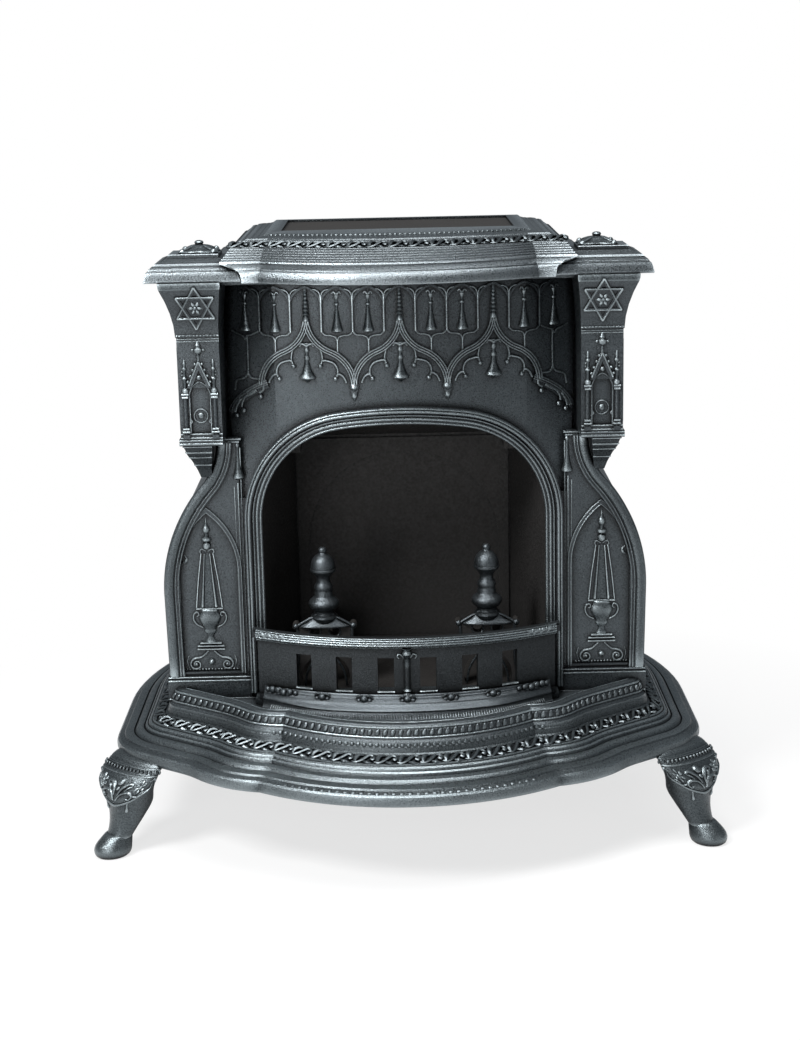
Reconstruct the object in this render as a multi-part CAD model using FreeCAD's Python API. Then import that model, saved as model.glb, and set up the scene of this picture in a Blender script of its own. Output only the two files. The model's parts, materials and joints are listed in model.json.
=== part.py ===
"""Open-front cast iron stove on four cabriole legs, built plate by plate.

Millimetres, +Z up.  While a plate is drawn, y = 0 is the front plane of the
jambs, with +y towards the flue.  save() then moves every plate so that the
origin lies on the floor, under the middle of the stove's overall depth.
"""
import os
from math import asin, atan2, copysign, cos, degrees, hypot, pi, radians, sin, sqrt

import FreeCAD
import Part

VEC = FreeCAD.Vector
Z_AXIS = VEC(0, 0, 1)
SIDES = {"left": -1, "right": 1}

# ---- overall sizes --------------------------------------------------------
DEPTH = 550.0               # hearth lip to the end of the flue collar
HEARTH_REACH = 249.5        # hearth lip in front of the jamb plane
FRONT_Y = HEARTH_REACH - DEPTH / 2
SOCKET_OUT = 64.5           # flue collar behind the rear plate's inner face
BODY_BACK = DEPTH - HEARTH_REACH - SOCKET_OUT
LEG_HEIGHT = 117.0          # underside of the hearth lip above the floor
BASE_RISE = 56.0
SEAT_Z = LEG_HEIGHT + BASE_RISE     # seat on the base for the upright plates
FLOOR_Z = SEAT_Z + 11.0     # top of the firebox floor
BODY_HEIGHT = 539.0
MANTEL_Z = SEAT_Z + BODY_HEIGHT     # top edge of the upright plates
BASE_HALF = 378.0           # half width over the base
SKIN = 6.0                  # wall of the plain plates
FIT = 0.3                   # gap between bodies that part
SNUG = 0.05                 # radial gap of a pressed or screwed joint

# ---- base plate -----------------------------------------------------------
BASE_BACK = BODY_BACK + 64.0
BOW_HALF = 183.0            # half chord of the hearth's central bow
BOW_RISE = 57.5
SHOULDER_R = 141.6
SHOULDER_ANGLES = (12.0, 50.0)
HOLLOW_R = 120.0
EAR_ANGLE = 36.0
EAR_R = 98.0
SIDE_BEND_Y = BASE_BACK - 170.0
SIDE_R = 420.0
BASE_WALL = 7.0
# moulding of the base from the lip to the seat: inset from the lip, rise above it
BASE_MOULD = ((4.0, 0.0), (0.0, 7.0), (2.0, 15.0), (24.0, 22.0), (34.0, 26.0),
              (47.0, 36.0), (64.0, 42.0), (70.0, BASE_RISE))

# ---- hearth tray ----------------------------------------------------------
RIM_RISE = 19.0
RIM_Z = SEAT_Z + RIM_RISE
RIM_MOULD = ((71.0, 0.0), (74.0, 3.0), (77.0, 14.0), (82.0, RIM_RISE))
RIM_INSET = 92.0            # inner edge of the raised rim
CHANNEL_Z = SEAT_Z + 4.0
LEDGE_REACH = 92.0          # basket ledge in front of the jamb plane

# ---- legs -----------------------------------------------------------------
LEG_TOP_X = BASE_HALF - 28.0        # front knees
LEG_TOP_Y = 74.0
REAR_LEG_X = BASE_HALF - 48.0
REAR_LEG_Y = BASE_BACK - 65.0
FRONT_SPLAY = 0.7           # how much the front legs turn forward for each step sideways
# height as a share of the leg, outward shift, half depth, half width
LEG_SECTIONS = ((1.0, -3.0, 27.0, 44.0), (0.93, 4.0, 31.0, 45.0), (0.82, 9.0, 32.5, 43.0),
                (0.7, 9.5, 31.0, 38.0), (0.57, 7.0, 28.0, 30.5), (0.43, 11.5, 22.5, 24.0),
                (0.3, 17.0, 18.0, 19.5), (0.18, 24.0, 15.5, 16.5))
FOOT_SHIFT = 38.0
FOOT_R = 21.3
FOOT_H = 29.0
LUG_REACH = 45.0            # bolt axis behind the leg's centre
LUG_HALF = 17.0
LUG_T = 10.0
BOLT_R = 4.0
BOLT_CLEAR = 0.25
BOLT_HEAD = 13.0            # across the flats
BOLT_HEAD_H = 5.5
BOLT_GRIP = 18.0            # thread above the lug
BOSS_R = 15.0

# ---- jambs ----------------------------------------------------------------
JAMB_HALF = BASE_HALF - 69.6
JAMB_T = 8.0
JAMB_LEAN = 2.6             # the outline draws in this much down to the seat
OGEE_Z = SEAT_Z + 145.0     # above this height the outline curves in
OGEE_BELLY_R = 209.4
OGEE_NECK_R = 82.0
JAMB_TOP = SEAT_Z + 339.0   # end of the ogee, upright again
OGEE_BAND = 20.0
OGEE_BAND_T = 4.0
PANEL_DRAW = 57.9           # middle of the lancet panel inside the edge
LANCET_X = JAMB_HALF - PANEL_DRAW
LANCET_HALF = 38.0
LANCET_SPRING = SEAT_Z + 172.0
LANCET_RISE = 78.0
LANCET_DEPTH = 3.5
PANEL_FOOT = SEAT_Z + 38.0
PLINTH_TOP = SEAT_Z + 33.0
PLINTH_T = 8.0
PLINTH_OUTER = JAMB_HALF - JAMB_LEAN + 3.0

# ---- firebox opening ------------------------------------------------------
ARCH_HALF = JAMB_HALF - 106.9       # outside of the reeded surround
ARCH_TOP = SEAT_Z + 383.0
ARCH_CROWN_R = 560.0
ARCH_HAUNCH_R = 140.0
ARCH_BAND = 22.0            # width of the surround
ARCH_T = 12.0
ARCH_LAP = 18.0             # how far the surround covers the plates
COLUMN_INNER = ARCH_HALF + 5.5      # inner edge of the jamb's upper column
PLINTH_INNER = ARCH_HALF - 6.5

# ---- front plate ----------------------------------------------------------
MITRE_X = ARCH_HALF - 44.5  # edge of the bowed middle of the front plate
PLATE_RISE = 14.0           # how far the middle bows forward
WING_X = ARCH_HALF + 20.5   # outer edge of the receding wing at the top
WING_BACK = 38.0
WING_FOOT_Z = SEAT_Z + 267.0
WING_FOOT_X = ARCH_HALF + 10.5
WING_FOOT_BACK = 9.0
PLATE_T = 8.0
RIB_RISE = 3.2              # height of the tracery above the plate
GABLE_PITCH = 116.0         # between the three ogee gables
GABLE_FOOT = MANTEL_Z - 129.0
GABLE_APEX = MANTEL_Z - 44.0
GABLE_BAR = 8.0
SPIRE_TOP = MANTEL_Z - 8.0
MULLION_FOOT = MANTEL_Z - 62.0
MULLION_TOP = MANTEL_Z - 24.0
MULLION_W = 2.6
ARCADE_TOP = MANTEL_Z - 6.0

# ---- pilasters ------------------------------------------------------------
PILASTER_X = JAMB_HALF - 62.15
PILASTER_HALF = 25.75
PILASTER_IN = PILASTER_X - PILASTER_HALF
PILASTER_OUT = PILASTER_X + PILASTER_HALF
PILASTER_FRONT = -48.0
PILASTER_BACK = 45.5
PILASTER_FOOT = JAMB_TOP + 6.0
PILASTER_BASE_H = 8.0
CAPITAL_Z = MANTEL_Z - 60.0
CAPITAL_FLARE = 17.0
NICHE_HALF = 12.0
NICHE_FOOT = PILASTER_FOOT + 15.0
NICHE_PART = 47.0 / 119.0    # of the shaft, from the niche's foot to the capital, below its spring
NICHE_SPRING = NICHE_FOOT + NICHE_PART * (CAPITAL_Z - NICHE_FOOT)
NICHE_DEPTH = 4.0
COLONETTE_R = 3.0
COLONETTE_DRAW = 6.0        # colonettes outside the niche's edge
STAR_R = 28.0               # six-pointed star on the capital
STAR_Z = CAPITAL_Z + 36.0
STAR_STRAP = 3.6
STAR_RISE = 1.6
GABLE_RISE = 32.0
CORBEL_FOOT = PILASTER_FOOT - 49.0

# ---- body behind the front ------------------------------------------------
SIDE_INSET = 3.0            # side plates inside the jamb's outline
CHEEK_FRONT_X = ARCH_HALF - 17.5
CHEEK_FRONT_Y = 22.0
CHEEK_BACK_X = CHEEK_FRONT_X - 38.0
CHEEK_T = 8.0
CHEEK_TOP = SEAT_Z + 305.0
FIREBACK_Y = BODY_BACK - 46.0
FIREBACK_TOP = CHEEK_TOP
BAFFLE_FRONT_Y = FIREBACK_Y - 118.0
BAFFLE_RISE = 70.0
RIB_W = 12.0                # stiffening rib of the rear plate
RIB_Z = OGEE_Z + 12.0

# ---- mantel ---------------------------------------------------------------
MANTEL_HALF = JAMB_HALF - 1.4
MANTEL_FRONT = -62.0
BLOCK_INNER = MANTEL_HALF - 117.0
BLOCK_BACK = 52.0
MANTEL_WING_HALF = BLOCK_INNER - 4.0
MANTEL_BOW_HALF = MANTEL_WING_HALF - 19.0
MANTEL_BOW_RISE = 48.0
MANTEL_WING_Y = -84.0
MANTEL_BODY_HALF = MANTEL_HALF - 57.0
MANTEL_BODY_BACK = BODY_BACK + 8.0
# mouldings: inset from the edge, rise above the upright plates
MANTEL_MOULD = ((16.0, 0.0), (1.0, 10.5), (0.0, 16.0), (1.5, 22.0), (6.0, 24.5),
                (10.0, 25.5), (11.0, 27.0), (15.0, 30.0), (20.0, 32.0), (26.0, 34.0))
BLOCK_SLAB = (28.0, 39.0)   # flat slab on a corner block, inset and rise
BODY_MOULD = ((12.0, 0.0), (6.0, 10.0), (8.0, 16.0), (16.0, 24.0), (28.0, 29.0))
# raised middle: rise, draw-in of the bow's ends, wing y, bow rise, draw-in of the sides
MANTEL_TIERS = ((30.0, 2.0, -68.0, 46.0, 36.0), (36.0, 2.5, -52.0, 44.0, 40.0),
                (41.0, 3.0, -34.0, 42.0, 43.0), (45.0, 4.0, -22.0, 40.0, 47.0),
                (50.0, 7.0, -8.0, 36.0, 64.0), (54.0, 9.0, 6.0, 32.0, 74.0),
                (56.0, 11.0, 20.0, 30.0, 87.0), (58.0, 12.0, 26.0, 29.0, 91.0))
TIER_LAP = 12.0             # the tiers start this far below their first row
TIER_BACK = BODY_BACK
# hollow underneath: rise, inset from the sides, front y, inset from the back
MANTEL_HOLLOW = ((-1.0, 22.0, 14.0, 18.0), (20.0, 38.0, 18.0, 22.0),
                 (32.0, 52.0, 30.0, 24.0), (49.0, 100.0, 60.0, 26.0))
LID_HALF = MANTEL_BODY_HALF - 104.0
LID_FRONT = 52.0
LID_BACK = BODY_BACK - 10.0
LID_T = 6.0
LID_SEAT = 6.0
LID_DROP = 3.0              # the lid lies this far below the rim
FINIAL_X = PILASTER_X - 3.0
FINIAL_Y = -5.0
FINIAL_R = 24.0
FINIAL_H = 14.0

# ---- tie rods -------------------------------------------------------------
TIE_R = 5.0
TIE_X = ARCH_HALF + 2.5
TIE_FRONT_Y = 62.0
TIE_REAR_X = ARCH_HALF + 10.5
TIE_REAR_Y = BODY_BACK - 34.0
TIE_TOP = MANTEL_Z + 18.0
TIE_END = 16.0              # thread below the base's top wall
NUT_ACROSS = 17.0
NUT_H = 8.0

# ---- basket and andirons --------------------------------------------------
BASKET_HALF = ARCH_HALF - 6.5
BASKET_RISE = 56.0
BASKET_END_Y = -31.0        # the plate's ends stand just clear of the surround
BASKET_T = 7.0
BASKET_TOP = FLOOR_Z + 93.0
RAIL_H = 13.0
SLOT_PITCH = 53.0
SLOT_W = 20.5
SLOT_LOW = FLOOR_Z + 23.0
SLOT_HIGH = FLOOR_Z + 67.0
ANDIRON_X = ARCH_HALF - 96.5
ANDIRON_Y = 12.0
ANDIRON_TOP = FLOOR_Z + 187.0
ANDIRON_T = 14.0
ANDIRON_HALF = 44.0         # half width over the feet
ANDIRON_EYE_R = 6.0         # two round holes in the foot
BILLET_BACK = FIREBACK_Y - 25.0
BILLET_W = 14.0

# ---- flue -----------------------------------------------------------------
FLUE_Z = MANTEL_Z - 100.0
SOCKET_R = 76.0             # bore of the socket for a 150 mm pipe
SLEEVE_R = 68.0             # bore of the sleeve inside the body
SLEEVE_FRONT = BODY_BACK - 86.0
FLANGE_R = 97.0
COLLAR_WALL = 5.0
FLUE_BOLT_PCD = 176.0
FLUE_BOLT_R = 3.0
FLUE_BOLT_HEAD = 10.0
FLANGE_T = 8.0
DAMPER_Y = BODY_BACK - 62.0
DAMPER_R = 66.5
SPINDLE_R = 4.0
SPINDLE_FIT = 0.1
DAMPER_T = 4.0
CRANK_X = PILASTER_OUT - 2.0        # where the spindle is bent down
CRANK_DROP = 52.0
GRIP_DROP = 92.0


# ---- drawing helpers ------------------------------------------------------
def box(x0, x1, y0, y1, z0, z1):
    """Box between two corners."""
    return Part.makeBox(x1 - x0, y1 - y0, z1 - z0, VEC(x0, y0, z0))


def rod(radius, start, end):
    """Round bar between two points."""
    run = end - start
    return Part.makeCylinder(radius, run.Length, start, run)


def fuse(shapes):
    """One solid from several that share volume."""
    shapes = list(shapes)
    return shapes[0].multiFuse(shapes[1:]).removeSplitter()


def revolve(profile, centre):
    """Solid turned about the vertical axis through centre from (radius, z) points."""
    points = [VEC(r, 0, z) for r, z in profile]
    wire = Part.makePolygon([VEC(0, 0, profile[0][1])] + points
                            + [VEC(0, 0, profile[-1][1]), VEC(0, 0, profile[0][1])])
    solid = Part.Face(wire).revolve(VEC(0, 0, 0), Z_AXIS, 360)
    return solid.translated(centre)


def slab(wire, depth, direction=VEC(0, 1, 0)):
    """Plate of the given depth from a flat outline."""
    return Part.Face(wire).extrude(direction * depth)


def line(a, b):
    """Straight edge."""
    return Part.LineSegment(a, b).toShape()


def arc(a, middle, b):
    """Arc through three points."""
    return Part.Arc(a, middle, b).toShape()


def mirror_x(shape):
    """The same shape on the other side of the stove."""
    return shape.mirror(VEC(0, 0, 0), VEC(1, 0, 0))


def hexagon(centre, across, height):
    """Hexagonal bolt head or nut standing on centre."""
    points = [centre + VEC(cos(radians(a)), sin(radians(a)), 0) * (across / sqrt(3))
              for a in range(0, 361, 60)]
    return slab(Part.makePolygon(points), height, Z_AXIS)


def circle_meet(c1, r1, c2, r2, side):
    """Meeting point of two circles in plan; side picks the one with larger or smaller y."""
    span = hypot(c2[0] - c1[0], c2[1] - c1[1])
    along = (r1 * r1 - r2 * r2 + span * span) / (2 * span)
    off = sqrt(r1 * r1 - along * along)
    ux = (c2[0] - c1[0]) / span
    uy = (c2[1] - c1[1]) / span
    found = [(c1[0] + ux * along - s * uy * off, c1[1] + uy * along + s * ux * off)
             for s in (-1, 1)]
    return max(found, key=lambda p: side * p[1])


def save(name, shape):
    """Move a finished plate into the stove's frame and write it."""
    if shape.ShapeType == "Compound" and len(shape.Solids) == 1:
        shape = shape.Solids[0]
    shape = shape.translated(VEC(0, FRONT_Y, 0))
    shape.exportStep("parts/" + name + ".step")
    print(name, len(shape.Solids), "solid(s)", round(shape.Volume / 1000.0, 1), "cm3",
          "valid" if shape.isValid() else "NOT VALID")


# ---- base plate, hearth tray and legs -------------------------------------
def bow_centre():
    """Radius and centre y of the hearth lip's central arc."""
    radius = (BOW_HALF ** 2 + BOW_RISE ** 2) / (2 * BOW_RISE)
    return radius, radius - HEARTH_REACH


class HearthOutline:
    """Plan of the hearth: bow, shoulder, hollow, straight ear, rounded corner, side.

    Every stretch is held by its centre, so that an inset only changes radii.
    Worked out for the right-hand half (+x).
    """

    def __init__(self):
        self.bow_r, self.bow_y = bow_centre()
        start, end = (radians(a) for a in SHOULDER_ANGLES)
        ear = radians(EAR_ANGLE)
        mitre = (BOW_HALF, self.bow_y - sqrt(self.bow_r ** 2 - BOW_HALF ** 2))
        self.shoulder = (mitre[0] - SHOULDER_R * sin(start), mitre[1] + SHOULDER_R * cos(start))
        bend = SHOULDER_R + HOLLOW_R
        self.hollow = (self.shoulder[0] + bend * sin(end), self.shoulder[1] - bend * cos(end))
        self.end = end
        self.ear_angle = ear
        # the straight ear runs from the hollow to the rounded corner
        corner_x = BASE_HALF - EAR_R
        base = (self.hollow[0] - HOLLOW_R * sin(ear), self.hollow[1] + HOLLOW_R * cos(ear))
        run = (corner_x + EAR_R * sin(ear) - base[0]) / cos(ear)
        self.corner = (corner_x, base[1] + run * sin(ear) + EAR_R * cos(ear))
        self.side_x = BASE_HALF - SIDE_R

    def point(self, centre, radius, angle):
        """Point on an arc, by the outward normal's angle from straight ahead."""
        return (centre[0] + radius * sin(angle), centre[1] - radius * cos(angle))

    def half(self, inset, back):
        """Corner and mid-arc points of the right half, from the mitre to the back."""
        shoulder_r = SHOULDER_R - inset
        hollow_r = HOLLOW_R + inset
        ear_r = EAR_R - inset
        mitre = circle_meet((0.0, self.bow_y), self.bow_r - inset, self.shoulder, shoulder_r, -1)
        start = atan2(mitre[0] - self.shoulder[0], self.shoulder[1] - mitre[1])
        middle = (start + self.end) / 2
        bend = (self.end + self.ear_angle) / 2
        steps = [("arc", self.point(self.shoulder, shoulder_r, middle),
                  self.point(self.shoulder, shoulder_r, self.end)),
                 ("arc", self.point(self.hollow, -hollow_r, bend),
                  self.point(self.hollow, -hollow_r, self.ear_angle))]
        side = BASE_HALF - inset
        turn = (self.ear_angle + pi / 2) / 2
        steps.append(("line", self.point(self.corner, ear_r, self.ear_angle)))
        steps.append(("arc", self.point(self.corner, ear_r, turn), (side, self.corner[1])))
        if back <= SIDE_BEND_Y:
            steps.append(("line", (side, back)))
            return mitre, steps
        side_r = SIDE_R - inset
        reach = back - inset - SIDE_BEND_Y
        end = (self.side_x + sqrt(side_r ** 2 - reach ** 2), back - inset)
        half_turn = atan2(reach, end[0] - self.side_x) / 2
        steps.append(("line", (side, SIDE_BEND_Y)))
        steps.append(("arc", (self.side_x + side_r * cos(half_turn),
                              SIDE_BEND_Y + side_r * sin(half_turn)), end))
        return mitre, steps

    def wire(self, inset, z, back=BASE_BACK):
        """Closed outline at height z, inset from the lip."""
        mitre, steps = self.half(inset, back)
        bow_front = self.bow_y - (self.bow_r - inset)
        edges = [arc(VEC(-mitre[0], mitre[1], z), VEC(0, bow_front, z), VEC(mitre[0], mitre[1], z))]
        right = []
        left = []
        here = mitre
        for step in steps:
            end = step[-1]
            a = VEC(here[0], here[1], z)
            b = VEC(end[0], end[1], z)
            am = VEC(-here[0], here[1], z)
            bm = VEC(-end[0], end[1], z)
            if step[0] == "arc":
                mid = step[1]
                right.append(arc(a, VEC(mid[0], mid[1], z), b))
                left.append(arc(bm, VEC(-mid[0], mid[1], z), am))
            else:
                right.append(line(a, b))
                left.append(line(bm, am))
            here = end
        edges += right
        edges.append(line(VEC(here[0], here[1], z), VEC(-here[0], here[1], z)))
        edges += reversed(left)
        return Part.Wire(edges)


HEARTH = HearthOutline()


def leg_places():
    """Name, plan position of the knee and outward direction of each leg."""
    places = []
    for side, sign in SIDES.items():
        places.append(("front_" + side, VEC(sign * LEG_TOP_X, -LEG_TOP_Y, 0),
                       VEC(sign, -FRONT_SPLAY, 0)))
        places.append(("rear_" + side, VEC(sign * REAR_LEG_X, REAR_LEG_Y, 0), VEC(sign, 1, 0)))
    for _, _, outward in places:
        outward.normalize()
    return places


def bolt_axis(place, outward):
    """Plan position of a leg's bolt."""
    return place - outward * LUG_REACH


def base_plate():
    """Moulded base: a shell with an open underside, leg bosses and tie rod holes."""
    levels = [HEARTH.wire(inset, LEG_HEIGHT + rise) for inset, rise in BASE_MOULD]
    outer = Part.makeLoft(levels, True, True)
    inner_mould = [(BASE_MOULD[0][0] + BASE_WALL - 1, -1.0)]
    for inset, rise in BASE_MOULD[1:-1]:
        if inset + BASE_WALL > inner_mould[-1][0] + 0.5:
            inner_mould.append((inset + BASE_WALL, rise - 1.0))
    inner_mould.append((BASE_MOULD[-1][0] + BASE_WALL, SEAT_Z - LEG_HEIGHT - BASE_WALL))
    inner = Part.makeLoft([HEARTH.wire(inset, LEG_HEIGHT + rise) for inset, rise in inner_mould],
                          True, True)
    shell = outer.cut(inner)
    bosses = []
    holes = []
    for _, place, outward in leg_places():
        axis = bolt_axis(place, outward)
        boss = rod(BOSS_R, axis + Z_AXIS * LEG_HEIGHT, axis + Z_AXIS * SEAT_Z)
        bosses.append(boss.common(outer))
        holes.append(rod(BOLT_R + BOLT_CLEAR, axis, axis + Z_AXIS * (LEG_HEIGHT + BOLT_GRIP + 2)))
    for x, y in tie_rod_places():
        holes.append(rod(TIE_R + BOLT_CLEAR, VEC(x, y, LEG_HEIGHT), VEC(x, y, SEAT_Z + 1)))
    return fuse([shell] + bosses).cut(Part.makeCompound(holes))


def hearth_tray():
    """Raised hearth in front of the fire: rim, ash channel and basket ledge."""
    back = 40.0
    rim = Part.makeLoft([HEARTH.wire(inset, SEAT_Z + rise, back) for inset, rise in RIM_MOULD],
                        True, True)
    channel = slab(HEARTH.wire(RIM_INSET, CHANNEL_Z, back), RIM_Z, Z_AXIS)
    tray = rim.cut(channel)
    ledge = rim.common(ledge_block())
    tray = fuse([tray, ledge])
    edge = -PLINTH_T - FIT
    tray = tray.cut(box(-BASE_HALF, BASE_HALF, 0, BASE_BACK, 0, MANTEL_Z))
    for sign in SIDES.values():
        inner = sign * (PLINTH_INNER - FIT)
        outer = sign * BASE_HALF
        tray = tray.cut(box(min(inner, outer), max(inner, outer), edge, BASE_BACK, 0, MANTEL_Z))
    return tray


def ledge_block():
    """Bowed ledge that carries the basket front."""
    half = BASKET_HALF - 1
    a = VEC(-half, 0, SEAT_Z)
    b = VEC(half, 0, SEAT_Z)
    c = VEC(half, -LEDGE_REACH + BASKET_RISE, SEAT_Z)
    d = VEC(-half, -LEDGE_REACH + BASKET_RISE, SEAT_Z)
    wire = Part.Wire([line(a, b), line(b, c), arc(c, VEC(0, -LEDGE_REACH, SEAT_Z), d), line(d, a)])
    return slab(wire, FLOOR_Z - SEAT_Z, Z_AXIS)


def ellipse_wire(centre, outward, half_depth, half_width):
    """Oval section of a leg, its depth along the outward direction."""
    across = VEC(-outward.y, outward.x, 0)
    if half_depth > half_width:
        curve = Part.Ellipse(centre + outward * half_depth, centre + across * half_width, centre)
    else:
        curve = Part.Ellipse(centre + across * half_width, centre + outward * half_depth, centre)
    return Part.Wire(curve.toShape())


def leg(place, outward):
    """Cabriole leg with a splayed pad foot and a bolting lug behind the knee."""
    sections = [ellipse_wire(place + outward * shift + Z_AXIS * (share * LEG_HEIGHT),
                             outward, half_depth, half_width)
                for share, shift, half_depth, half_width in LEG_SECTIONS]
    shank = Part.makeLoft(sections, True, False)
    foot_at = place + outward * FOOT_SHIFT
    foot = revolve([(FOOT_R - 5.5, 0), (FOOT_R - 1.7, 2.5), (FOOT_R, 8), (FOOT_R, 13),
                    (FOOT_R - 1.5, 18), (FOOT_R - 3, 20), (FOOT_R - 5, 20.5),
                    (FOOT_R - 8, FOOT_H - 4), (FOOT_R - 13, FOOT_H)], foot_at)
    across = VEC(-outward.y, outward.x, 0)
    root = place - outward * 12
    tip = place - outward * (LUG_REACH + LUG_HALF)
    z = LEG_HEIGHT - LUG_T
    corners = [root + across * LUG_HALF, tip + across * LUG_HALF,
               tip - across * LUG_HALF, root - across * LUG_HALF]
    wire = Part.makePolygon([p + Z_AXIS * z for p in corners + corners[:1]])
    lug = slab(wire, LUG_T, Z_AXIS)
    axis = bolt_axis(place, outward)
    hole = rod(BOLT_R + BOLT_CLEAR, axis, axis + Z_AXIS * (LEG_HEIGHT + 1))
    return fuse([shank, foot, lug]).cut(hole)


def leg_bolts():
    """Bolts that hold the legs, heads under the lugs."""
    bolts = []
    for _, place, outward in leg_places():
        axis = bolt_axis(place, outward)
        under = LEG_HEIGHT - LUG_T
        shank = rod(BOLT_R, axis + Z_AXIS * (under - 1), axis + Z_AXIS * (LEG_HEIGHT + BOLT_GRIP))
        bolts.append(fuse([shank, hexagon(axis + Z_AXIS * (under - BOLT_HEAD_H), BOLT_HEAD,
                                          BOLT_HEAD_H)]))
    return Part.makeCompound(bolts)


# ---- arch of the opening --------------------------------------------------
def arch_shape(inset):
    """Springing height, tangent point and radii of the arch, inset from the surround."""
    crown_r = ARCH_CROWN_R - inset
    haunch_r = ARCH_HAUNCH_R - inset
    half = ARCH_HALF - inset
    haunch_x = half - haunch_r
    crown_z = ARCH_TOP - ARCH_CROWN_R
    reach = crown_r - haunch_r
    spring = crown_z + sqrt(reach ** 2 - haunch_x ** 2)
    scale = crown_r / reach
    tangent = (haunch_x * scale, crown_z + (spring - crown_z) * scale)
    return half, haunch_x, haunch_r, spring, tangent


def arch_prism(inset, foot, y0, y1):
    """Solid with the arch's outline from y0 to y1, standing on foot."""
    half, haunch_x, haunch_r, spring, tangent = arch_shape(inset)
    angle = atan2(tangent[1] - spring, tangent[0] - haunch_x) / 2
    middle = (haunch_x + haunch_r * cos(angle), spring + haunch_r * sin(angle))
    top = ARCH_TOP - inset

    def at(x, z):
        return VEC(x, y0, z)

    edges = [line(at(-half, foot), at(half, foot)),
             line(at(half, foot), at(half, spring)),
             arc(at(half, spring), at(*middle), at(*tangent)),
             arc(at(*tangent), at(0, top), at(-tangent[0], tangent[1])),
             arc(at(-tangent[0], tangent[1]), at(-middle[0], middle[1]), at(-half, spring)),
             line(at(-half, spring), at(-half, foot))]
    return slab(Part.Wire(edges), y1 - y0)


def bowed_sheet(front, thick, z0, z1, half):
    """Sheet that follows the front: flat outside the mitres, bowed between them."""
    y0 = -front
    y1 = y0 + thick

    def at(x, y):
        return VEC(x, y, z0)

    edges = [line(at(-half, y0), at(-MITRE_X, y0)),
             arc(at(-MITRE_X, y0), at(0, y0 - PLATE_RISE), at(MITRE_X, y0)),
             line(at(MITRE_X, y0), at(half, y0)),
             line(at(half, y0), at(half, y1)),
             line(at(half, y1), at(MITRE_X, y1)),
             arc(at(MITRE_X, y1), at(0, y1 - PLATE_RISE), at(-MITRE_X, y1)),
             line(at(-MITRE_X, y1), at(-half, y1)),
             line(at(-half, y1), at(-half, y0))]
    return slab(Part.Wire(edges), z1 - z0, Z_AXIS)


def arch_frame():
    """Reeded surround of the opening, following the bow of the front."""
    deep = 2 * (ARCH_T + PLATE_RISE)
    ring = arch_prism(0, FLOOR_Z, -deep, deep).cut(arch_prism(ARCH_BAND, 0, -deep, deep))
    outer_reed = arch_prism(0, FLOOR_Z, -deep, deep).cut(arch_prism(8, 0, -deep, deep))
    low = bowed_sheet(ARCH_T - 5, ARCH_T - 5, 0, MANTEL_Z, ARCH_HALF + 5)
    high = bowed_sheet(ARCH_T, ARCH_T, 0, MANTEL_Z, ARCH_HALF + 5)
    return fuse([ring.common(low), outer_reed.common(high)])


# ---- jambs, front plate and pilasters -------------------------------------
def ogee_curve(inset):
    """Neck x, tangent point and centres of the jamb's outline, inset from its edge."""
    belly_r = OGEE_BELLY_R - inset
    neck_r = OGEE_NECK_R + inset
    belly_x = JAMB_HALF - OGEE_BELLY_R
    span = OGEE_BELLY_R + OGEE_NECK_R
    neck_x = belly_x + sqrt(span ** 2 - (JAMB_TOP - OGEE_Z) ** 2)
    share = belly_r / span
    tangent = (belly_x + (neck_x - belly_x) * share, OGEE_Z + (JAMB_TOP - OGEE_Z) * share)
    angle = atan2(JAMB_TOP - OGEE_Z, neck_x - belly_x)
    belly_mid = (belly_x + belly_r * cos(angle / 2), OGEE_Z + belly_r * sin(angle / 2))
    neck_mid = (neck_x - neck_r * cos(angle / 2), JAMB_TOP - neck_r * sin(angle / 2))
    return neck_x - neck_r, tangent, belly_mid, neck_mid


def jamb_edge(inset, z):
    """Edge of the jamb's outline below the ogee, where it leans in a little."""
    return JAMB_HALF - inset - JAMB_LEAN * (OGEE_Z - z) / (OGEE_Z - SEAT_Z)


def ogee_edges(inset, foot, top, at):
    """Edges of the outline from the foot up to the given top."""
    neck, tangent, belly_mid, neck_mid = ogee_curve(inset)
    edge_x = JAMB_HALF - inset
    edges = [line(at(jamb_edge(inset, foot), foot), at(edge_x, OGEE_Z)),
             arc(at(edge_x, OGEE_Z), at(*belly_mid), at(*tangent)),
             arc(at(*tangent), at(*neck_mid), at(neck, JAMB_TOP))]
    if top > JAMB_TOP:
        edges.append(line(at(neck, JAMB_TOP), at(neck, top)))
    return edges


def jamb_sheet(inset, inner, foot, y0, y1):
    """Half plate between an inner edge and the ogee outline."""
    def at(x, z):
        return VEC(x, y0, z)

    edges = ogee_edges(inset, foot, PILASTER_FOOT, at)
    neck = ogee_curve(inset)[0]
    edges += [line(at(neck, PILASTER_FOOT), at(inner, PILASTER_FOOT)),
              line(at(inner, PILASTER_FOOT), at(inner, foot)),
              line(at(inner, foot), at(jamb_edge(inset, foot), foot))]
    return slab(Part.Wire(edges), y1 - y0)


def lancet(half, foot, spring, rise, x, y0, y1):
    """Solid with a pointed-arch outline."""
    radius = (half * half + rise * rise) / (2 * half)
    angle = atan2(rise, radius - half) / 2

    def at(px, z):
        return VEC(px, y0, z)

    right_mid = at(x + half - radius + radius * cos(angle), spring + radius * sin(angle))
    left_mid = at(x - half + radius - radius * cos(angle), spring + radius * sin(angle))
    edges = [line(at(x - half, foot), at(x + half, foot)),
             line(at(x + half, foot), at(x + half, spring)),
             arc(at(x + half, spring), right_mid, at(x, spring + rise)),
             arc(at(x, spring + rise), left_mid, at(x - half, spring)),
             line(at(x - half, spring), at(x - half, foot))]
    return slab(Part.Wire(edges), y1 - y0)


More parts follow.
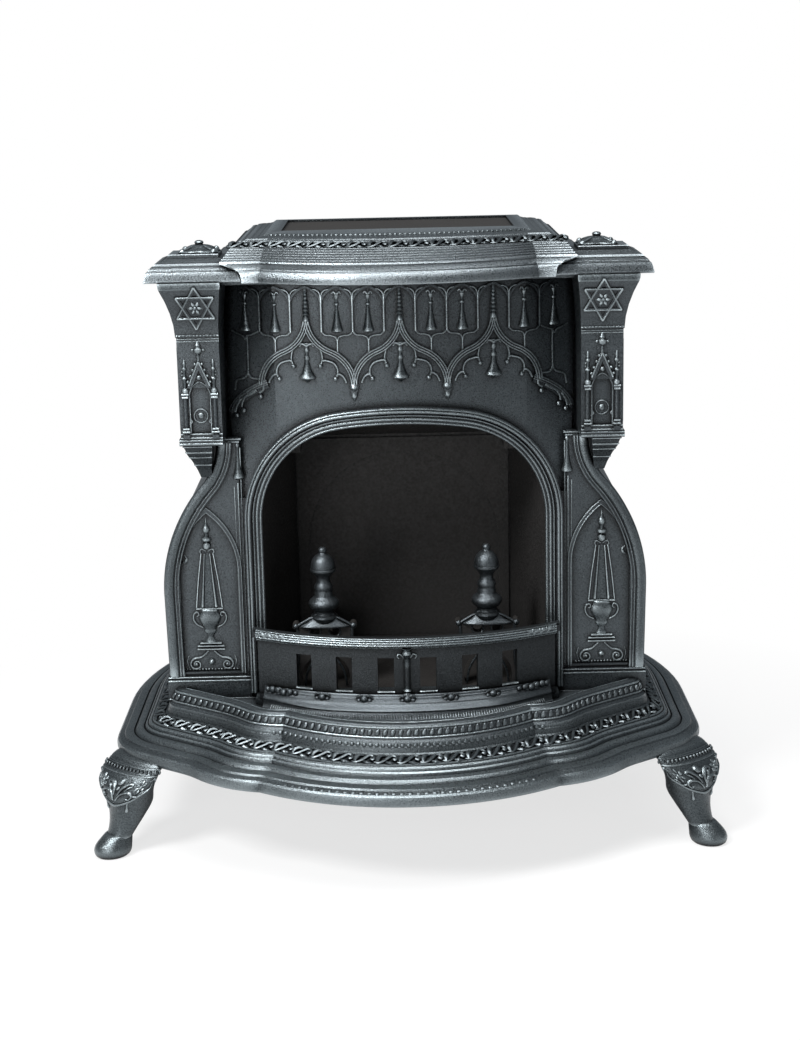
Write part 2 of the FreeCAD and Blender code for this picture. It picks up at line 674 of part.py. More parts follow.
def jamb():
    """Right-hand jamb: ogee wing, raised border, sunk lancet panel and plinth."""
    plate = jamb_sheet(0, COLUMN_INNER, SEAT_Z, 0, JAMB_T)
    toe = box(ARCH_HALF - ARCH_LAP, COLUMN_INNER + 1, 0, JAMB_T, SEAT_Z, WING_FOOT_Z)
    plate = plate.fuse(toe).cut(arch_prism(ARCH_LAP, 0, -1, JAMB_T + 1))
    border = jamb_sheet(0, 0, SEAT_Z, -OGEE_BAND_T, 0).cut(
        jamb_sheet(OGEE_BAND, 0, 0, -OGEE_BAND_T - 1, 1))
    border = border.common(box(COLUMN_INNER + 5, BASE_HALF, -OGEE_BAND_T, 0, PLINTH_TOP, JAMB_TOP))
    panel = lancet(LANCET_HALF, PANEL_FOOT, LANCET_SPRING, LANCET_RISE, LANCET_X, -20, LANCET_DEPTH)
    lip = 2.5
    frame = lancet(LANCET_HALF + lip, PANEL_FOOT - lip, LANCET_SPRING, LANCET_RISE + 2 * lip,
                   LANCET_X, -2, 1)
    plinth = box(PLINTH_INNER, PLINTH_OUTER, -PLINTH_T, JAMB_T, SEAT_Z, PLINTH_TOP - 4)
    cap = box(PLINTH_INNER, PLINTH_OUTER - 1, -PLINTH_T + 2.5, JAMB_T, PLINTH_TOP - 5, PLINTH_TOP)
    body = fuse([plate, border, frame, plinth, cap]).cut(panel)
    return body.cut(arch_prism(ARCH_BAND, 0, -60, 60)).cut(surround_seat())


def surround_seat():
    """Space that the surround takes in front of the plates."""
    deep = 2 * (ARCH_T + PLATE_RISE)
    return arch_prism(-FIT, 0, -deep, 0)


def front_skin(ahead, thick):
    """Layer that follows the upper front, starting the given distance ahead of its face."""
    wide = bowed_sheet(ahead, thick, WING_FOOT_Z, MANTEL_Z, WING_X)
    parts = [wide.common(box(-MITRE_X, MITRE_X, -DEPTH, DEPTH, WING_FOOT_Z, MANTEL_Z))]
    for sign in SIDES.values():
        sections = []
        for z, x, back in ((WING_FOOT_Z, WING_FOOT_X, WING_FOOT_BACK), (MANTEL_Z, WING_X, WING_BACK)):
            inner = sign * (MITRE_X - 0.01)
            points = [VEC(inner, -ahead, z), VEC(sign * x, back - ahead, z),
                      VEC(sign * x, back - ahead + thick, z), VEC(inner, thick - ahead, z)]
            sections.append(Part.makePolygon(points + points[:1]))
        parts.append(Part.makeLoft(sections, True, True))
    return fuse(parts)


def arc_bar(a, middle, b, width):
    """Bar of even width along the arc through three (x, z) points, deep in y."""
    path = [VEC(x, -DEPTH / 4, z) for x, z in (a, middle, b)]
    curve = arc(*path).Curve
    grow = width / (2 * curve.Radius)
    outer = [curve.Center + (p - curve.Center) * (1 + grow) for p in path]
    inner = [curve.Center + (p - curve.Center) * (1 - grow) for p in path]
    edges = [arc(*outer), line(outer[2], inner[2]), arc(*reversed(inner)), line(inner[0], outer[0])]
    return slab(Part.Wire(edges), DEPTH / 2)


def ogee_bar(foot, apex):
    """Half of an ogee gable: two equal arcs, upright at the foot and at the apex."""
    run = apex[0] - foot[0]
    rise = apex[1] - foot[1]
    side = copysign(1, run)
    radius = (run * run + rise * rise) / (4 * abs(run))
    half_turn = asin(rise / 2 / radius) / 2
    drift = side * radius * (1 - cos(half_turn))
    climb = radius * sin(half_turn)
    middle = (foot[0] + run / 2, foot[1] + rise / 2)
    return [arc_bar(foot, (foot[0] + drift, foot[1] + climb), middle, GABLE_BAR),
            arc_bar(middle, (apex[0] - drift, apex[1] - climb), apex, GABLE_BAR)]


def taper(x, foot, top, half_foot, half_top):
    """Upright bar between two heights with a half width at each, deep in y."""
    points = [VEC(x - half_foot, -DEPTH / 4, foot), VEC(x + half_foot, -DEPTH / 4, foot),
              VEC(x + half_top, -DEPTH / 4, top), VEC(x - half_top, -DEPTH / 4, top)]
    return slab(Part.makePolygon(points + points[:1]), DEPTH / 2)


def tracery():
    """Ribs on the upper front: three ogee gables with spires and an arcade of mullions."""
    half = GABLE_PITCH / 2
    ribs = []
    for x in (-GABLE_PITCH, 0.0, GABLE_PITCH):
        ribs += ogee_bar((x - half, GABLE_FOOT), (x, GABLE_APEX))
        ribs += ogee_bar((x + half, GABLE_FOOT), (x, GABLE_APEX))
        ribs.append(taper(x, GABLE_APEX - 4, SPIRE_TOP, 4.5, 1.2))
    for x in (-half, half):
        ribs.append(taper(x, GABLE_FOOT + 1, GABLE_FOOT - 16, 6.0, 2.0))
    for sign in SIDES.values():
        x = sign * GABLE_PITCH * 1.5
        ribs.append(arc_bar((x - sign * 8, GABLE_FOOT), (x + sign * 27, GABLE_FOOT - 22),
                            (x + sign * 49, GABLE_FOOT - 48), GABLE_BAR - 2))
    bay = GABLE_PITCH / 3
    for i in range(-5, 5):
        x = (i + 0.5) * bay
        ribs.append(taper(x, MULLION_FOOT, MULLION_TOP, MULLION_W / 2, MULLION_W / 2))
        for sign in SIDES.values():
            ribs.append(arc_bar((x, MULLION_TOP - 1), (x + sign * bay * 0.16, ARCADE_TOP - 8),
                                (x + sign * bay / 2, ARCADE_TOP), MULLION_W))
    return fuse(ribs).common(front_skin(RIB_RISE, RIB_RISE + 2))


def front_plate():
    """Upper front with its tracery: bowed middle and two wings that fold back."""
    plate = fuse([front_skin(0, PLATE_T), tracery()])
    return plate.cut(arch_prism(ARCH_LAP, 0, -60, 60)).cut(surround_seat())


def capital_section(z, spread):
    """Plan of the flared capital at height z."""
    x0 = PILASTER_IN - spread * 0.3
    x1 = PILASTER_OUT + spread
    y0 = PILASTER_FRONT - spread
    points = [VEC(x0, y0, z), VEC(x1, y0, z), VEC(x1, PILASTER_BACK, z), VEC(x0, PILASTER_BACK, z)]
    return Part.makePolygon(points + points[:1])


def capital_loft(ahead):
    """Flared capital, its faces moved outwards by the given distance."""
    steps = 4
    levels = []
    for i in range(steps + 1):
        share = i / steps
        spread = 1.0 + (CAPITAL_FLARE - 1.0) * share ** 1.8
        levels.append(capital_section(CAPITAL_Z + share * (MANTEL_Z - CAPITAL_Z), spread + ahead))
    return Part.makeLoft(levels, True, True)


def star_relief():
    """Two laced triangles that form a six-pointed star on the capital's front."""
    skin = capital_loft(STAR_RISE)
    straps = []
    for turn in (90, 270):
        rings = []
        for radius in (STAR_R, STAR_R - 2 * STAR_STRAP):
            corners = [VEC(PILASTER_X + radius * cos(radians(turn + a)), PILASTER_FRONT - CAPITAL_FLARE - 5,
                           STAR_Z + radius * sin(radians(turn + a))) for a in (0, 120, 240, 360)]
            rings.append(slab(Part.makePolygon(corners), CAPITAL_FLARE + 9))
        straps.append(rings[0].cut(rings[1]).common(skin))
    return straps


def pilaster():
    """Right-hand pilaster: hollow box column with niche, base moulding and flared capital."""
    shaft = box(PILASTER_IN, PILASTER_OUT, PILASTER_FRONT, PILASTER_BACK, PILASTER_FOOT, CAPITAL_Z)
    foot = box(PILASTER_IN, PILASTER_OUT + 2.0, PILASTER_FRONT - 2.0, PILASTER_BACK,
               PILASTER_FOOT, PILASTER_FOOT + PILASTER_BASE_H)
    capital = capital_loft(0.0)
    hollow = box(PILASTER_IN + SKIN, PILASTER_OUT - SKIN, PILASTER_FRONT + SKIN,
                 PILASTER_BACK - SKIN, PILASTER_FOOT + SKIN, MANTEL_Z + 1)
    niche = lancet(NICHE_HALF, NICHE_FOOT, NICHE_SPRING, NICHE_HALF * 1.4, PILASTER_X,
                   PILASTER_FRONT - 1, PILASTER_FRONT + NICHE_DEPTH)
    column = fuse([shaft, foot, capital]).cut(hollow).cut(niche)
    column = fuse([column, gable_relief()] + colonettes() + star_relief())
    bolt = rod(BOLT_R + BOLT_CLEAR, VEC(FINIAL_X, FINIAL_Y, 0), VEC(FINIAL_X, FINIAL_Y, MANTEL_Z + 1))
    return column.cut(bolt).cut(wing_seat())


def gable_relief():
    """Steep gable over the niche."""
    x = PILASTER_X
    y = PILASTER_FRONT
    foot = NICHE_SPRING + 10
    top = foot + GABLE_RISE
    half = NICHE_HALF + 3
    outer = [VEC(x - half, y + 0.5, foot), VEC(x + half, y + 0.5, foot), VEC(x, y + 0.5, top)]
    inner = [VEC(x - half + 5, y - 5, foot - 1), VEC(x + half - 5, y - 5, foot - 1),
             VEC(x, y - 5, top - 10)]
    raised = slab(Part.makePolygon(outer + outer[:1]), -3.5)
    opening = slab(Part.makePolygon(inner + inner[:1]), 5.0)
    return raised.cut(opening)


def colonettes():
    """Two slender half-round columns with square caps and bases beside the niche."""
    shapes = []
    top = NICHE_SPRING + 3
    for sign in SIDES.values():
        x = PILASTER_X + sign * (NICHE_HALF + COLONETTE_DRAW)
        shapes.append(rod(COLONETTE_R, VEC(x, PILASTER_FRONT, NICHE_FOOT - 5),
                          VEC(x, PILASTER_FRONT, top)))
        for z in (NICHE_FOOT - 6, top - 4):
            shapes.append(box(x - COLONETTE_R - 1, x + COLONETTE_R + 1, PILASTER_FRONT - COLONETTE_R - 1,
                              PILASTER_FRONT + 1, z, z + 5))
    return shapes


def wing_seat():
    """Clears the pilaster's inner back corner for the wing of the front plate."""
    reach = 1.0
    points = [VEC(MITRE_X, 0, PILASTER_FOOT - 1),
              VEC(WING_X + reach, WING_BACK - 4 * reach, PILASTER_FOOT - 1),
              VEC(WING_X + reach, WING_BACK + 40, PILASTER_FOOT - 1),
              VEC(MITRE_X, WING_BACK + 40, PILASTER_FOOT - 1)]
    return slab(Part.makePolygon(points + points[:1]), MANTEL_Z, Z_AXIS)


def corbel():
    """Pendant under the right-hand pilaster, stepped in to a point."""
    neck = ogee_curve(0)[0]
    x0 = neck + FIT
    x1 = PILASTER_OUT - 1
    y0 = PILASTER_FRONT + 4
    rows = ((0.0, 0.0), (0.16, 2.5), (0.28, 4.0), (0.5, 9.0), (0.78, 14.0), (1.0, 17.0))
    height = PILASTER_FOOT - CORBEL_FOOT
    levels = []
    for share, draw in rows:
        z = PILASTER_FOOT - share * height
        lean = draw * 0.35
        points = [VEC(x0 + lean, y0 + 2.3 * draw, z), VEC(x1 - draw, y0 + 2.3 * draw, z),
                  VEC(x1 - draw, -y0 - 2.0 * draw, z), VEC(x0 + lean, -y0 - 2.0 * draw, z)]
        levels.append(Part.makePolygon(points + points[:1]))
    solid = Part.makeLoft(levels, True, True)
    keep = box(0, BASE_HALF, PILASTER_FRONT, BODY_BACK, 0, MANTEL_Z).cut(
        jamb_sheet(-FIT, 0, 0, -OGEE_BAND_T - FIT, BODY_BACK))
    return solid.common(keep)


# ---- body behind the front ------------------------------------------------
def tie_rod_places():
    """Plan positions of the four tie rods."""
    return [(sign * x, y) for x, y in ((TIE_X, TIE_FRONT_Y), (TIE_REAR_X, TIE_REAR_Y))
            for sign in SIDES.values()]


def side_plate():
    """Right-hand side: one plate bent to the jamb's ogee, notched for the pilaster."""
    y0 = JAMB_T

    def at(x, z):
        return VEC(x, y0, z)

    outside = ogee_edges(SIDE_INSET, SEAT_Z, MANTEL_Z, at)
    inside = ogee_edges(SIDE_INSET + SKIN, SEAT_Z, MANTEL_Z, at)
    neck_out = ogee_curve(SIDE_INSET)[0]
    neck_in = ogee_curve(SIDE_INSET + SKIN)[0]
    edges = outside + [line(at(neck_out, MANTEL_Z), at(neck_in, MANTEL_Z))]
    edges += list(reversed(inside))
    edges.append(line(at(jamb_edge(SIDE_INSET + SKIN, SEAT_Z), SEAT_Z),
                      at(jamb_edge(SIDE_INSET, SEAT_Z), SEAT_Z)))
    plate = slab(Part.Wire(Part.sortEdges(edges)[0]), BODY_BACK - JAMB_T)
    notch = box(0, BASE_HALF, 0, PILASTER_BACK, PILASTER_FOOT - 6, MANTEL_Z + 1)
    return plate.cut(notch)


def spindle_hole():
    """Hole for the damper's spindle in the right-hand side plate."""
    return rod(SPINDLE_R + SPINDLE_FIT, VEC(0, DAMPER_Y, FLUE_Z), VEC(BASE_HALF, DAMPER_Y, FLUE_Z))


def back_plate():
    """Rear plate with the flue opening and a stiffening border."""
    def at(x, z):
        return VEC(x, BODY_BACK, z)

    right = ogee_edges(SIDE_INSET, SEAT_Z, MANTEL_Z, at)
    left = [mirror_x(edge) for edge in right]
    neck = ogee_curve(SIDE_INSET)[0]
    foot = jamb_edge(SIDE_INSET, SEAT_Z)
    edges = right + left + [line(at(-foot, SEAT_Z), at(foot, SEAT_Z)),
                            line(at(neck, MANTEL_Z), at(-neck, MANTEL_Z))]
    plate = slab(Part.Wire(Part.sortEdges(edges)[0]), SKIN)
    flue = rod(SLEEVE_R + COLLAR_WALL + 1, VEC(0, 0, FLUE_Z), VEC(0, DEPTH, FLUE_Z))
    holes = [rod(FLUE_BOLT_R + BOLT_CLEAR, VEC(x, BODY_BACK - 1, z), VEC(x, BODY_BACK + SKIN + 1, z))
             for x, z in flue_bolt_places()]
    rib = box(-foot + 40, foot - 40, BODY_BACK + SKIN, BODY_BACK + SKIN + 5, RIB_Z, RIB_Z + RIB_W)
    return fuse([plate, rib]).cut(Part.makeCompound([flue] + holes))


def firebox_floor():
    """Ribbed plate under the fire."""
    half = jamb_edge(SIDE_INSET + SKIN, SEAT_Z) - FIT
    plate = box(-half, half, JAMB_T + FIT, BODY_BACK - FIT, FLOOR_Z - SKIN, FLOOR_Z)
    ribs = [box(x - 4, x + 4, JAMB_T + FIT, BODY_BACK - FIT, SEAT_Z, FLOOR_Z)
            for x in (-half + 4, -150.0, -50.0, 50.0, 150.0, half - 4)]
    mouth = PLINTH_INNER - 15
    apron = box(-mouth, mouth, FIT, JAMB_T + 1, SEAT_Z, FLOOR_Z)
    holes = [rod(TIE_R + BOLT_CLEAR, VEC(x, y, 0), VEC(x, y, FLOOR_Z + 1))
             for x, y in tie_rod_places()]
    return fuse([plate, apron] + ribs).cut(Part.makeCompound(holes))


def cheek():
    """Right-hand firebox cheek, splayed towards the front and ribbed behind."""
    y0 = CHEEK_FRONT_Y
    y1 = FIREBACK_Y
    slope = (CHEEK_BACK_X - CHEEK_FRONT_X) / (y1 - y0)

    def inner(y):
        return CHEEK_FRONT_X + slope * (y - y0)

    points = [VEC(inner(y0), y0, FLOOR_Z), VEC(inner(y1), y1, FLOOR_Z),
              VEC(inner(y1) + CHEEK_T, y1, FLOOR_Z), VEC(inner(y0) + CHEEK_T, y0, FLOOR_Z)]
    plate = slab(Part.makePolygon(points + points[:1]), CHEEK_TOP - FLOOR_Z, Z_AXIS)
    ribs = []
    for share in (0.22, 0.5, 0.78):
        y = y0 + share * (y1 - y0)
        x = inner(y)
        ribs.append(box(x + 2, x + CHEEK_T + 7, y - 4, y + 4, FLOOR_Z, CHEEK_TOP))
    return fuse([plate] + ribs)


def fireback():
    """Upright back of the fire with a raised border and pointed panel."""
    half = CHEEK_BACK_X + CHEEK_T
    plate = box(-half, half, FIREBACK_Y + FIT, FIREBACK_Y + FIT + 10, FLOOR_Z, FIREBACK_TOP)
    inner = CHEEK_BACK_X - 2
    border = box(-inner, inner, FIREBACK_Y - 3, FIREBACK_Y + 1, FLOOR_Z, FIREBACK_TOP)
    window = lancet(inner - 14, FLOOR_Z + 14, FLOOR_Z + 150, 125.0, 0, FIREBACK_Y - 10,
                    FIREBACK_Y + FIT)
    brackets = [box(x - 5, x + 5, FIREBACK_Y + 9, BODY_BACK, z, z + 24)
                for x in (-110.0, 110.0) for z in (FLOOR_Z + 40, FIREBACK_TOP - 50)]
    return fuse([plate, border.cut(window)] + brackets)


def throat_baffle():
    """Sloping plate over the fire that leaves the smoke throat at the front."""
    foot = CHEEK_TOP
    half = CHEEK_BACK_X - 12
    points = [VEC(-half, FIREBACK_Y + 8, foot), VEC(-half, FIREBACK_Y + 8, foot + 7),
              VEC(-half, BAFFLE_FRONT_Y, foot + BAFFLE_RISE + 7),
              VEC(-half, BAFFLE_FRONT_Y, foot + BAFFLE_RISE)]
    plate = slab(Part.makePolygon(points + points[:1]), 2 * half, VEC(1, 0, 0))
    wings = []
    for sign in SIDES.values():
        a = sign * (half - 1)
        b = sign * (CHEEK_FRONT_X + 6)
        wings.append(box(min(a, b), max(a, b), BAFFLE_FRONT_Y + 20, FIREBACK_Y - 2,
                         foot, foot + 7))
        fence = [VEC(a, FIREBACK_Y - 2, foot), VEC(a, BAFFLE_FRONT_Y + 3, foot + BAFFLE_RISE),
                 VEC(a, BAFFLE_FRONT_Y + 20, foot)]
        wings.append(slab(Part.makePolygon(fence + fence[:1]), sign * 6.0, VEC(1, 0, 0)))
    lip = box(-half, half, FIREBACK_Y + FIT, FIREBACK_Y + 12, foot, foot + 9)
    return fuse([plate, lip] + wings)


# ---- mantel ---------------------------------------------------------------
def rectangle(x0, x1, y0, y1, z):
    """Rectangular section at height z."""
    points = [VEC(x0, y0, z), VEC(x1, y0, z), VEC(x1, y1, z), VEC(x0, y1, z)]
    return Part.makePolygon(points + points[:1])


def bowed_section(z, mitre, wing_y, rise, side, back):
    """Section with a bowed front, short wings and straight sides."""
    def at(x, y):
        return VEC(x, y, z)

    edges = [arc(at(-mitre, wing_y), at(0, wing_y - rise), at(mitre, wing_y)),
             line(at(mitre, wing_y), at(side, wing_y)),
             line(at(side, wing_y), at(side, back)),
             line(at(side, back), at(-side, back)),
             line(at(-side, back), at(-side, wing_y)),
             line(at(-side, wing_y), at(-mitre, wing_y))]
    return Part.Wire(edges)


def mantel_block(sign):
    """Moulded corner block with its flat slab."""
    levels = []
    for inset, rise in MANTEL_MOULD:
        a = sign * (BLOCK_INNER + inset)
        b = sign * (MANTEL_HALF - inset)
        levels.append(rectangle(min(a, b), max(a, b), MANTEL_FRONT + inset, BLOCK_BACK - inset,
                                MANTEL_Z + rise))
    inset, rise = BLOCK_SLAB
    a = sign * (BLOCK_INNER + inset)
    b = sign * (MANTEL_HALF - inset)
    slab_z = MANTEL_Z + MANTEL_MOULD[-1][1]
    plinth = box(min(a, b), max(a, b), MANTEL_FRONT + inset, BLOCK_BACK - inset,
                 slab_z - 1, MANTEL_Z + rise)
    return [Part.makeLoft(levels, True, True), plinth]


def tier_section(rise, row):
    """Section of the raised middle at a rise, with the draw-ins of its row."""
    _, bow_draw, wing_y, bow, side_draw = row
    return bowed_section(MANTEL_Z + rise, MANTEL_BOW_HALF - bow_draw, wing_y, bow,
                         MANTEL_BODY_HALF - side_draw, TIER_BACK)


def mantel_body():
    """Mantel before it is hollowed: body, bowed lip, raised tiers and corner blocks."""
    front = Part.makeLoft([bowed_section(MANTEL_Z + rise, MANTEL_BOW_HALF - 0.3 * inset,
                                         MANTEL_WING_Y + inset, MANTEL_BOW_RISE - 0.2 * inset,
                                         MANTEL_WING_HALF, LID_FRONT)
                           for inset, rise in MANTEL_MOULD[:5]], True, True)
    body = Part.makeLoft([rectangle(-MANTEL_BODY_HALF + inset, MANTEL_BODY_HALF - inset,
                                    MANTEL_FRONT + 24 + inset, MANTEL_BODY_BACK - inset,
                                    MANTEL_Z + rise)
                          for inset, rise in BODY_MOULD], True, True)
    first = MANTEL_TIERS[0]
    levels = [tier_section(first[0] - TIER_LAP, first)]
    levels += [tier_section(row[0], row) for row in MANTEL_TIERS]
    tiers = Part.makeLoft(levels, True, True)
    return fuse([body, front, tiers] + mantel_block(-1) + mantel_block(1))


def mantel():
    """Moulded top plate: corner blocks, bowed middle and raised tiers, hollow underneath."""
    top = mantel_body()
    rise = MANTEL_TIERS[-1][0]
    hollow = Part.makeLoft([rectangle(-MANTEL_BODY_HALF + inset, MANTEL_BODY_HALF - inset, front,
                                      MANTEL_BODY_BACK - back, MANTEL_Z + level)
                            for level, inset, front, back in MANTEL_HOLLOW], True, True)
    bosses = [rod(10, VEC(x, y, MANTEL_Z + 1), VEC(x, y, TIE_TOP + 8)).common(top)
              for x, y in tie_rod_places()]
    lid = box(-LID_HALF, LID_HALF, LID_FRONT, LID_BACK, MANTEL_Z + rise - LID_DROP - LID_T,
              MANTEL_Z + rise + 1)
    mouth = box(-LID_HALF + LID_SEAT, LID_HALF - LID_SEAT, LID_FRONT + LID_SEAT, LID_BACK - LID_SEAT,
                MANTEL_Z + 20, MANTEL_Z + rise + 1)
    holes = [rod(TIE_R + BOLT_CLEAR, VEC(x, y, MANTEL_Z), VEC(x, y, TIE_TOP + 1))
             for x, y in tie_rod_places()]
    holes += [rod(BOLT_R + BOLT_CLEAR, VEC(s * FINIAL_X, FINIAL_Y, MANTEL_Z - 1),
                  VEC(s * FINIAL_X, FINIAL_Y, MANTEL_Z + 60)) for s in SIDES.values()]
    top = fuse([top.cut(hollow)] + bosses)
    return top.cut(Part.makeCompound([lid])).cut(mouth).cut(Part.makeCompound(holes))


def top_plate():
    """Flat plate let into the mantel's raised top."""
    rise = MANTEL_TIERS[-1][0]
    z1 = MANTEL_Z + rise - LID_DROP
    return box(-LID_HALF + FIT, LID_HALF - FIT, LID_FRONT + FIT, LID_BACK - FIT, z1 - LID_T, z1)


def finial():
    """Low domed rosette with a knob on the right-hand corner block."""
    z = MANTEL_Z + BLOCK_SLAB[1]
    return revolve([(FINIAL_R, z), (FINIAL_R, z + 1.5), (FINIAL_R - 3, z + 3), (FINIAL_R - 5, z + 3.5),
                    (FINIAL_R - 9, z + 6.5), (FINIAL_R - 16, z + 8.5), (4.5, z + 9), (5.2, z + 11),
                    (4.2, z + 13), (1.5, z + FINIAL_H)],
                   VEC(FINIAL_X, FINIAL_Y, 0))


def pilaster_bolts():
    """Long bolts that clamp finial, mantel and pilaster, nut inside the pilaster's foot."""
    bolts = []
    for sign in SIDES.values():
        at = VEC(sign * FINIAL_X, FINIAL_Y, 0)
        bottom = PILASTER_FOOT + SKIN
        shank = rod(BOLT_R, at + Z_AXIS * (PILASTER_FOOT + 1),
                    at + Z_AXIS * (MANTEL_Z + BLOCK_SLAB[1]))
        bolts.append(fuse([shank, hexagon(at + Z_AXIS * bottom, BOLT_HEAD, BOLT_HEAD_H)]))
    return Part.makeCompound(bolts)


def tie_rods():
    """Four rods that draw the mantel down on the base."""
    foot = SEAT_Z - BASE_WALL - TIE_END
    return Part.makeCompound([rod(TIE_R, VEC(x, y, foot), VEC(x, y, TIE_TOP))
                              for x, y in tie_rod_places()])


def tie_rod_nuts():
    """Nuts under the base."""
    nuts = []
    for x, y in tie_rod_places():
        z = SEAT_Z - BASE_WALL - NUT_H
        nut = hexagon(VEC(x, y, z), NUT_ACROSS, NUT_H)
        nuts.append(nut.cut(rod(TIE_R + SNUG, VEC(x, y, z - 1), VEC(x, y, z + NUT_H + 1))))
    return Part.makeCompound(nuts)


# ---- basket and andirons --------------------------------------------------
def basket_arc(offset):
    """Radius and centre y of the basket's bow, offset outwards."""
    radius = (BASKET_HALF ** 2 + BASKET_RISE ** 2) / (2 * BASKET_RISE)
    return radius + offset, BASKET_END_Y - BASKET_RISE + radius


def basket_sheet(outward, inward, half, z0, z1):
    """Bowed strip between two offsets of the basket's curve."""
    r1, y = basket_arc(outward)
    r0, _ = basket_arc(-inward)

    def at(radius, x):
        return VEC(x, y - sqrt(radius * radius - x * x), z0)

    edges = [arc(at(r1, -half), VEC(0, y - r1, z0), at(r1, half)),
             line(at(r1, half), at(r0, half)),
             arc(at(r0, half), VEC(0, y - r0, z0), at(r0, -half)),
             line(at(r0, -half), at(r1, -half))]
    return slab(Part.Wire(edges), z1 - z0, Z_AXIS)


def basket_front_y():
    """Foremost y of the basket's curve."""
    radius, y = basket_arc(0)
    return y - radius


def basket_front():
    """Bowed fret across the opening: moulded rail, air slots and a colonette."""
    foot = FLOOR_Z + FIT
    plate = basket_sheet(0, BASKET_T, BASKET_HALF - 6, foot, BASKET_TOP - 6)
    sill = basket_sheet(3, BASKET_T, BASKET_HALF - 6, foot, foot + 8)
    cove = basket_sheet(3, BASKET_T, BASKET_HALF - 2, BASKET_TOP - RAIL_H, BASKET_TOP - 6)
    rail = basket_sheet(7, BASKET_T + 2, BASKET_HALF, BASKET_TOP - RAIL_H + 3, BASKET_TOP - 2)
    bead = basket_sheet(4, BASKET_T - 1, BASKET_HALF, BASKET_TOP - 3, BASKET_TOP)
    post = rod(4, VEC(0, basket_front_y(), foot + 4), VEC(0, basket_front_y(), BASKET_TOP - RAIL_H + 1))
    radius, y = basket_arc(0)
    slots = []
    for i in (-2.5, -1.5, -0.5, 0.5, 1.5, 2.5):
        angle = degrees(i * SLOT_PITCH / radius)
        slot = box(-SLOT_W / 2, SLOT_W / 2, y - radius - 20, y - radius + 30, SLOT_LOW, SLOT_HIGH)
        slot.rotate(VEC(0, y, 0), Z_AXIS, angle)
        slots.append(slot)
    return fuse([plate, sill, cove, rail, bead, post]).cut(Part.makeCompound(slots))


def andiron_standard(x):
    """Turned upright: knob, domed cap, waist, ring, bulb and collar."""
    top = ANDIRON_TOP
    return revolve([(11, top - 104), (17, top - 92), (13, top - 88), (12.5, top - 84),
                    (17, top - 80), (19.5, top - 75), (17.5, top - 70), (11.5, top - 65),
                    (11.5, top - 60), (10.5, top - 57), (11.5, top - 54), (11, top - 50),
                    (8, top - 45), (8.5, top - 40), (13, top - 34), (15.6, top - 31),
                    (15.6, top - 27), (13.5, top - 19), (9.5, top - 14), (4, top - 11),
                    (4, top - 9), (5, top - 5), (3.8, top - 1.5), (1.2, top)],
                   VEC(x, ANDIRON_Y, 0))


def andiron(sign):
    """Andiron: turned standard on a flared foot with two eyes, billet bar behind."""
    x = sign * ANDIRON_X
    z = FLOOR_Z + FIT
    y0 = ANDIRON_Y - ANDIRON_T / 2
    y1 = ANDIRON_Y + ANDIRON_T / 2
    crown = ANDIRON_TOP - 90
    half = ANDIRON_HALF
    waist = half - 7
    gap = half - 16

    def at(px, pz):
        return VEC(x + px, y0, pz)

    edges = [line(at(-half, z), at(-gap, z)),
             arc(at(-gap, z), at(0, z + 45), at(gap, z)),
             line(at(gap, z), at(half, z)),
             arc(at(half, z), at(waist, (z + crown) / 2), at(waist, crown - 14)),
             arc(at(waist, crown - 14), at(waist - 13, crown - 9), at(13, crown)),
             line(at(13, crown), at(-13, crown)),
             arc(at(-13, crown), at(13 - waist, crown - 9), at(-waist, crown - 14)),
             arc(at(-waist, crown - 14), at(-waist, (z + crown) / 2), at(-half, z))]
    foot = slab(Part.Wire(edges), ANDIRON_T)
    scrolls = [rod(4.5, at(s * waist, crown - 14), at(s * waist, crown - 14) + VEC(0, ANDIRON_T, 0))
               for s in (-1, 1)]
    eye_z = crown - 21
    eyes = [rod(ANDIRON_EYE_R, at(s * 12.5, eye_z) - VEC(0, 1, 0),
                at(s * 12.5, eye_z) + VEC(0, ANDIRON_T + 1, 0)) for s in (-1, 1)]
    bar_z = z + 48
    bar_half = BILLET_W / 2
    bar = box(x - bar_half, x + bar_half, y1 - 2, BILLET_BACK, bar_z, bar_z + BILLET_W)
    heel = box(x - bar_half, x + bar_half, BILLET_BACK - BILLET_W, BILLET_BACK, z, bar_z + BILLET_W)
    solid = fuse([andiron_standard(x), foot, bar, heel] + scrolls)
    return solid.cut(Part.makeCompound(eyes))


# ---- flue -----------------------------------------------------------------
def flue_bolt_places():
    """Bolt circle of the flue collar."""
    radius = FLUE_BOLT_PCD / 2
    angles = [radians(a) for a in (45, 135, 225, 315)]
    return [(radius * cos(a), FLUE_Z + radius * sin(a)) for a in angles]


def tube(outer, inner, y0, y1):
    """Pipe along y about the flue axis."""
    solid = rod(outer, VEC(0, y0, FLUE_Z), VEC(0, y1, FLUE_Z))
    return solid.cut(rod(inner, VEC(0, y0 - 1, FLUE_Z), VEC(0, y1 + 1, FLUE_Z)))


